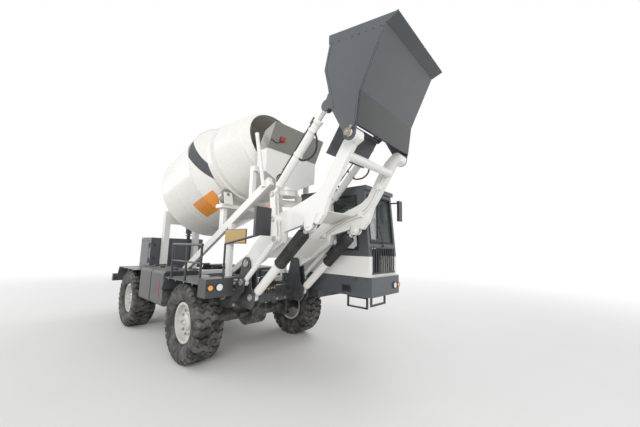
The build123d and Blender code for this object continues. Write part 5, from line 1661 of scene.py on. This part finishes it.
@dataclass
class RearDress:
    """Hood louvres, latches and bolts, tank caps and gauge, exhaust bands, mirror faces, bumper and fenders."""

    hood_back: float = -3970.0
    hood_half: float = 620.0
    louvres: int = 9
    louvre_foot: float = 1180.0
    louvre_pitch: float = 52.0
    louvre_height: float = 30.0
    louvre_depth: float = 14.0
    right_louvres: Point = (-3900.0, 0.5)
    rear_louvres: Point = (-420.0, 0.84)
    latch_heights: Point = (1250.0, 1550.0)
    latch_size: float = 70.0
    latch_x: Point = (-3290.0, -3262.0)
    latch_y: tuple[Point, Point] = ((-560.0, -520.0), (520.0, 560.0))
    hood_bolt_rows: Point = (-560.0, 560.0)
    hood_bolt_ends: Point = (-3930.0, -3310.0)
    hood_bolt_height: float = 1762.0
    bumper: tuple[Point, Point] = ((-3990.0, -1000.0, 820.0), (-3990.0, 1000.0, 820.0))
    tank_caps: tuple[Point, ...] = ((-1620.0, -905.0), (-1000.0, -905.0), (-1500.0, 905.0))
    tank_top: float = 1178.0
    cap: tuple[Point, ...] = ((0, 0), (0, 52), (10, 52), (10, 46), (34, 44), (38, 38), (38, 0))
    gauge: tuple[Point, Point, Point] = ((-900, -884), (-1194, -1189), (760, 1040))
    exhaust: Point = (-3500.0, 330.0, 1840.0)
    exhaust_bands: int = 6
    exhaust_pitch: float = 62.0
    exhaust_band: tuple[Point, ...] = ((0, 74), (0, 79), (4, 81), (20, 81), (24, 79), (24, 74))
    mirrors: tuple[tuple[Point, Point, Point], ...] = (
        ((1496, 1501), (-1092, -918), (1758, 2042)), ((2096, 2101), (1128, 1222), (2078, 2362)),
    )
    axles: Point = (-2550.0, 0.0)
    fender_side: float = 1235.0
    fender_height: float = 1105.0
    fender_reach: float = 400.0

    def press(self) -> None:
        """Press louvres into the right and rear faces of the hood."""
        right, rear = Shape(), Shape()
        for k in range(self.louvres):
            low = self.louvre_foot + k * self.louvre_pitch
            section = ((0, low), (0, low + self.louvre_height), (self.louvre_depth, low))
            start, length = self.right_louvres
            right.prism([at(start, -self.hood_half - out, z) for out, z in section], OUT_X * length)
            start, length = self.rear_louvres
            rear.prism([at(self.hood_back - out, start, z) for out, z in section], OUT_Y * length)
        right.piece("hood_louvres_right", "chassis", Finish.SLATE, 1.5)
        rear.piece("hood_louvres_rear", "chassis", Finish.SLATE, 1.5)

    def fittings(self) -> None:
        """Fit latches, tank caps, the gauge, exhaust bands, mirror faces and the hood's and bumper's bolts."""
        latches, caps, bands, gauge, glass = (Shape() for _ in range(5))
        for z in self.latch_heights:
            for y in self.latch_y:
                latches.block(self.latch_x, y, (z, z + self.latch_size))
        latches.piece("hood_latches", "chassis", Finish.BLACK, 4.0)
        for x, y in self.tank_caps:
            caps.turned(at(x, y, self.tank_top), OUT_Z, self.cap, 32)
        caps.piece("tank_caps", "chassis", Finish.BLACK)
        x, y, foot = self.exhaust
        for k in range(self.exhaust_bands):
            bands.turned(at(x, y, foot + k * self.exhaust_pitch), OUT_Z, self.exhaust_band, 40)
        bands.piece("exhaust_bands", "chassis", Finish.CAST)
        gauge.block(*self.gauge)
        gauge.piece("tank_gauge", "chassis", Finish.RED, 2.0)
        bolts = []
        for y in self.hood_bolt_rows:
            back, ahead = (at(x, y, self.hood_bolt_height) for x in self.hood_bolt_ends)
            bolts += line_places(back, ahead, 6, OUT_Z)
        Fasteners(9.0, 7.0).set("hood_top_bolts", "chassis", Finish.BOLT, bolts)
        bumper = line_places(*(at(*end) for end in self.bumper), 6, OUT_X * -1)
        Fasteners(14.0, 11.0).set("bumper_bolts", "chassis", Finish.BOLT, bumper)
        for sides in self.mirrors:
            glass.block(*sides)
        glass.piece("mirror_glass", "chassis", Finish.MIRROR, 1.0)

    def build(self) -> None:
        """Build everything at the rear and sides."""
        self.press()
        self.fittings()
        rows = []
        for hand in SIDES:
            for axle in self.axles:
                rear, front = (axle + end * self.fender_reach for end in SIDES)
                y, z = hand * self.fender_side, self.fender_height
                rows += line_places(at(rear, y, z), at(front, y, z), 4, OUT_Y * hand)
        Fasteners(8.0, 6.0).set("fender_bolts", "chassis", Finish.BOLT, rows)


@dataclass
class Stage:
    """Plain pale floor, soft studio light and the photograph's camera."""

    focal_px: float = 278.22
    photo_width: int = 640
    sensor: float = 36.0
    yaw: float = 131.79
    pitch: float = 7.01
    roll: float = 1.45
    eye: tuple[float, float, float] = (4.082, -2.905, 1.620)
    floor_half: float = 60.0
    floor_shade: Colour = (0.72, 0.71, 0.69)
    floor_cloud: Colour = (0.66, 0.65, 0.63)
    floor_fade: Point = (5.5, 15.0)
    sky: Colour = (0.94, 0.96, 1.0)
    sky_strength: float = 0.80
    white: Colour = (1.0, 1.0, 1.0)
    lamp_size: float = 7.0
    lamp_aim: Point = (0.5, 0.0, 1.5)
    lamps: tuple[tuple[str, Point, float], ...] = (
        ("key", (10.5, -8.5, 7.5), 980.0), ("fill", (-8.0, -7.0, 6.0), 260.0),
        ("rim", (-2.0, 10.0, 9.0), 420.0),
    )

    def floor(self) -> None:
        """Lay the floor, which fades to white far from the machine."""
        mesh = bpy.data.meshes.new("floor")
        span = (-self.floor_half, self.floor_half)
        mesh.from_pydata([(x, y, 0) for x, y in rectangle(span, span)], [], [(0, 1, 2, 3)])
        floor = add_object("floor", mesh)
        graph = Graph("studio_floor")
        cloud = graph.noise(0.8, 3.0)
        shade = graph.mix(cloud * 0.5, self.floor_shade, self.floor_cloud)
        mesh.materials.append(graph.finish(Base_Color=shade, Roughness=cloud * 0.1 + 0.8))
        far = graph.math("SQRT", graph.x * graph.x + graph.y * graph.y).smooth(*self.floor_fade)
        surface = graph.output.inputs["Surface"]
        pale = graph.add("ShaderNodeEmission", {}, Color=self.white, Strength=1.0)
        graph.feed(surface, graph.blend(far * graph.seen(), surface.links[0].from_socket, pale.outputs[0]))

    def light(self) -> None:
        """Set a pale world, which looks white, and three large soft lamps."""
        world = bpy.data.worlds.new("studio")
        bpy.context.scene.world = world
        world.use_nodes = True
        world.node_tree.nodes.clear()
        graph = Nodes(world.node_tree)
        glow = graph.add("ShaderNodeBackground", {}, Color=self.sky, Strength=self.sky_strength)
        backdrop = graph.add("ShaderNodeBackground", {}, Color=self.white, Strength=1.0)
        graph.add("ShaderNodeOutputWorld", {},
                  Surface=graph.blend(graph.seen(), glow.outputs[0], backdrop.outputs[0]))
        for name, place, power in self.lamps:
            data = bpy.data.lights.new(name, "AREA")
            data.size = self.lamp_size
            data.energy = power
            lamp = add_object(name, data)
            lamp.location = place
            lamp.rotation_euler = (Vector(self.lamp_aim) - Vector(place)).to_track_quat("-Z", "Y").to_euler()

    def camera(self) -> None:
        """Place the camera as the photograph was taken."""
        yaw, pitch, roll = radians(self.yaw), radians(self.pitch), radians(self.roll)
        ahead = Vector((cos(yaw) * cos(pitch), sin(yaw) * cos(pitch), sin(pitch)))
        right = ahead.cross(OUT_Z).normalized()
        above = right.cross(ahead)
        right, above = right * cos(roll) + above * sin(roll), above * cos(roll) - right * sin(roll)
        data = bpy.data.cameras.new("photo_camera")
        data.sensor_width = self.sensor
        data.lens = self.focal_px / self.photo_width * self.sensor
        data.clip_end = 200.0
        camera = add_object("photo_camera", data)
        place = Vector(self.eye) + OUT_X * FRONT_AXLE_X
        camera.matrix_world = Matrix((
            (right.x, above.x, -ahead.x, place.x),
            (right.y, above.y, -ahead.y, place.y),
            (right.z, above.z, -ahead.z, place.z),
            (0, 0, 0, 1),
        ))
        bpy.context.scene.camera = camera

    def build(self) -> None:
        """Build the whole stage."""
        self.floor()
        self.light()
        self.camera()
        bpy.context.scene.view_settings.view_transform = "Standard"


def main() -> None:
    """Load the frame, dress it, and add the pieces and the stage."""
    logging.basicConfig(level=logging.INFO, format="%(message)s")
    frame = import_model()
    Stage().build()
    dress_nodes(frame["nodes"])
    for assembly in (Wheels(), BoomDress(), StandDress(), CylinderDress(), RockerDress(), BucketDress(),
                     DrumDress(), HopperDress(), CabDress(), RearDress()):
        assembly.build()
        LOG.info("%s built", type(assembly).__name__)


if __name__ == "__main__":
    main()
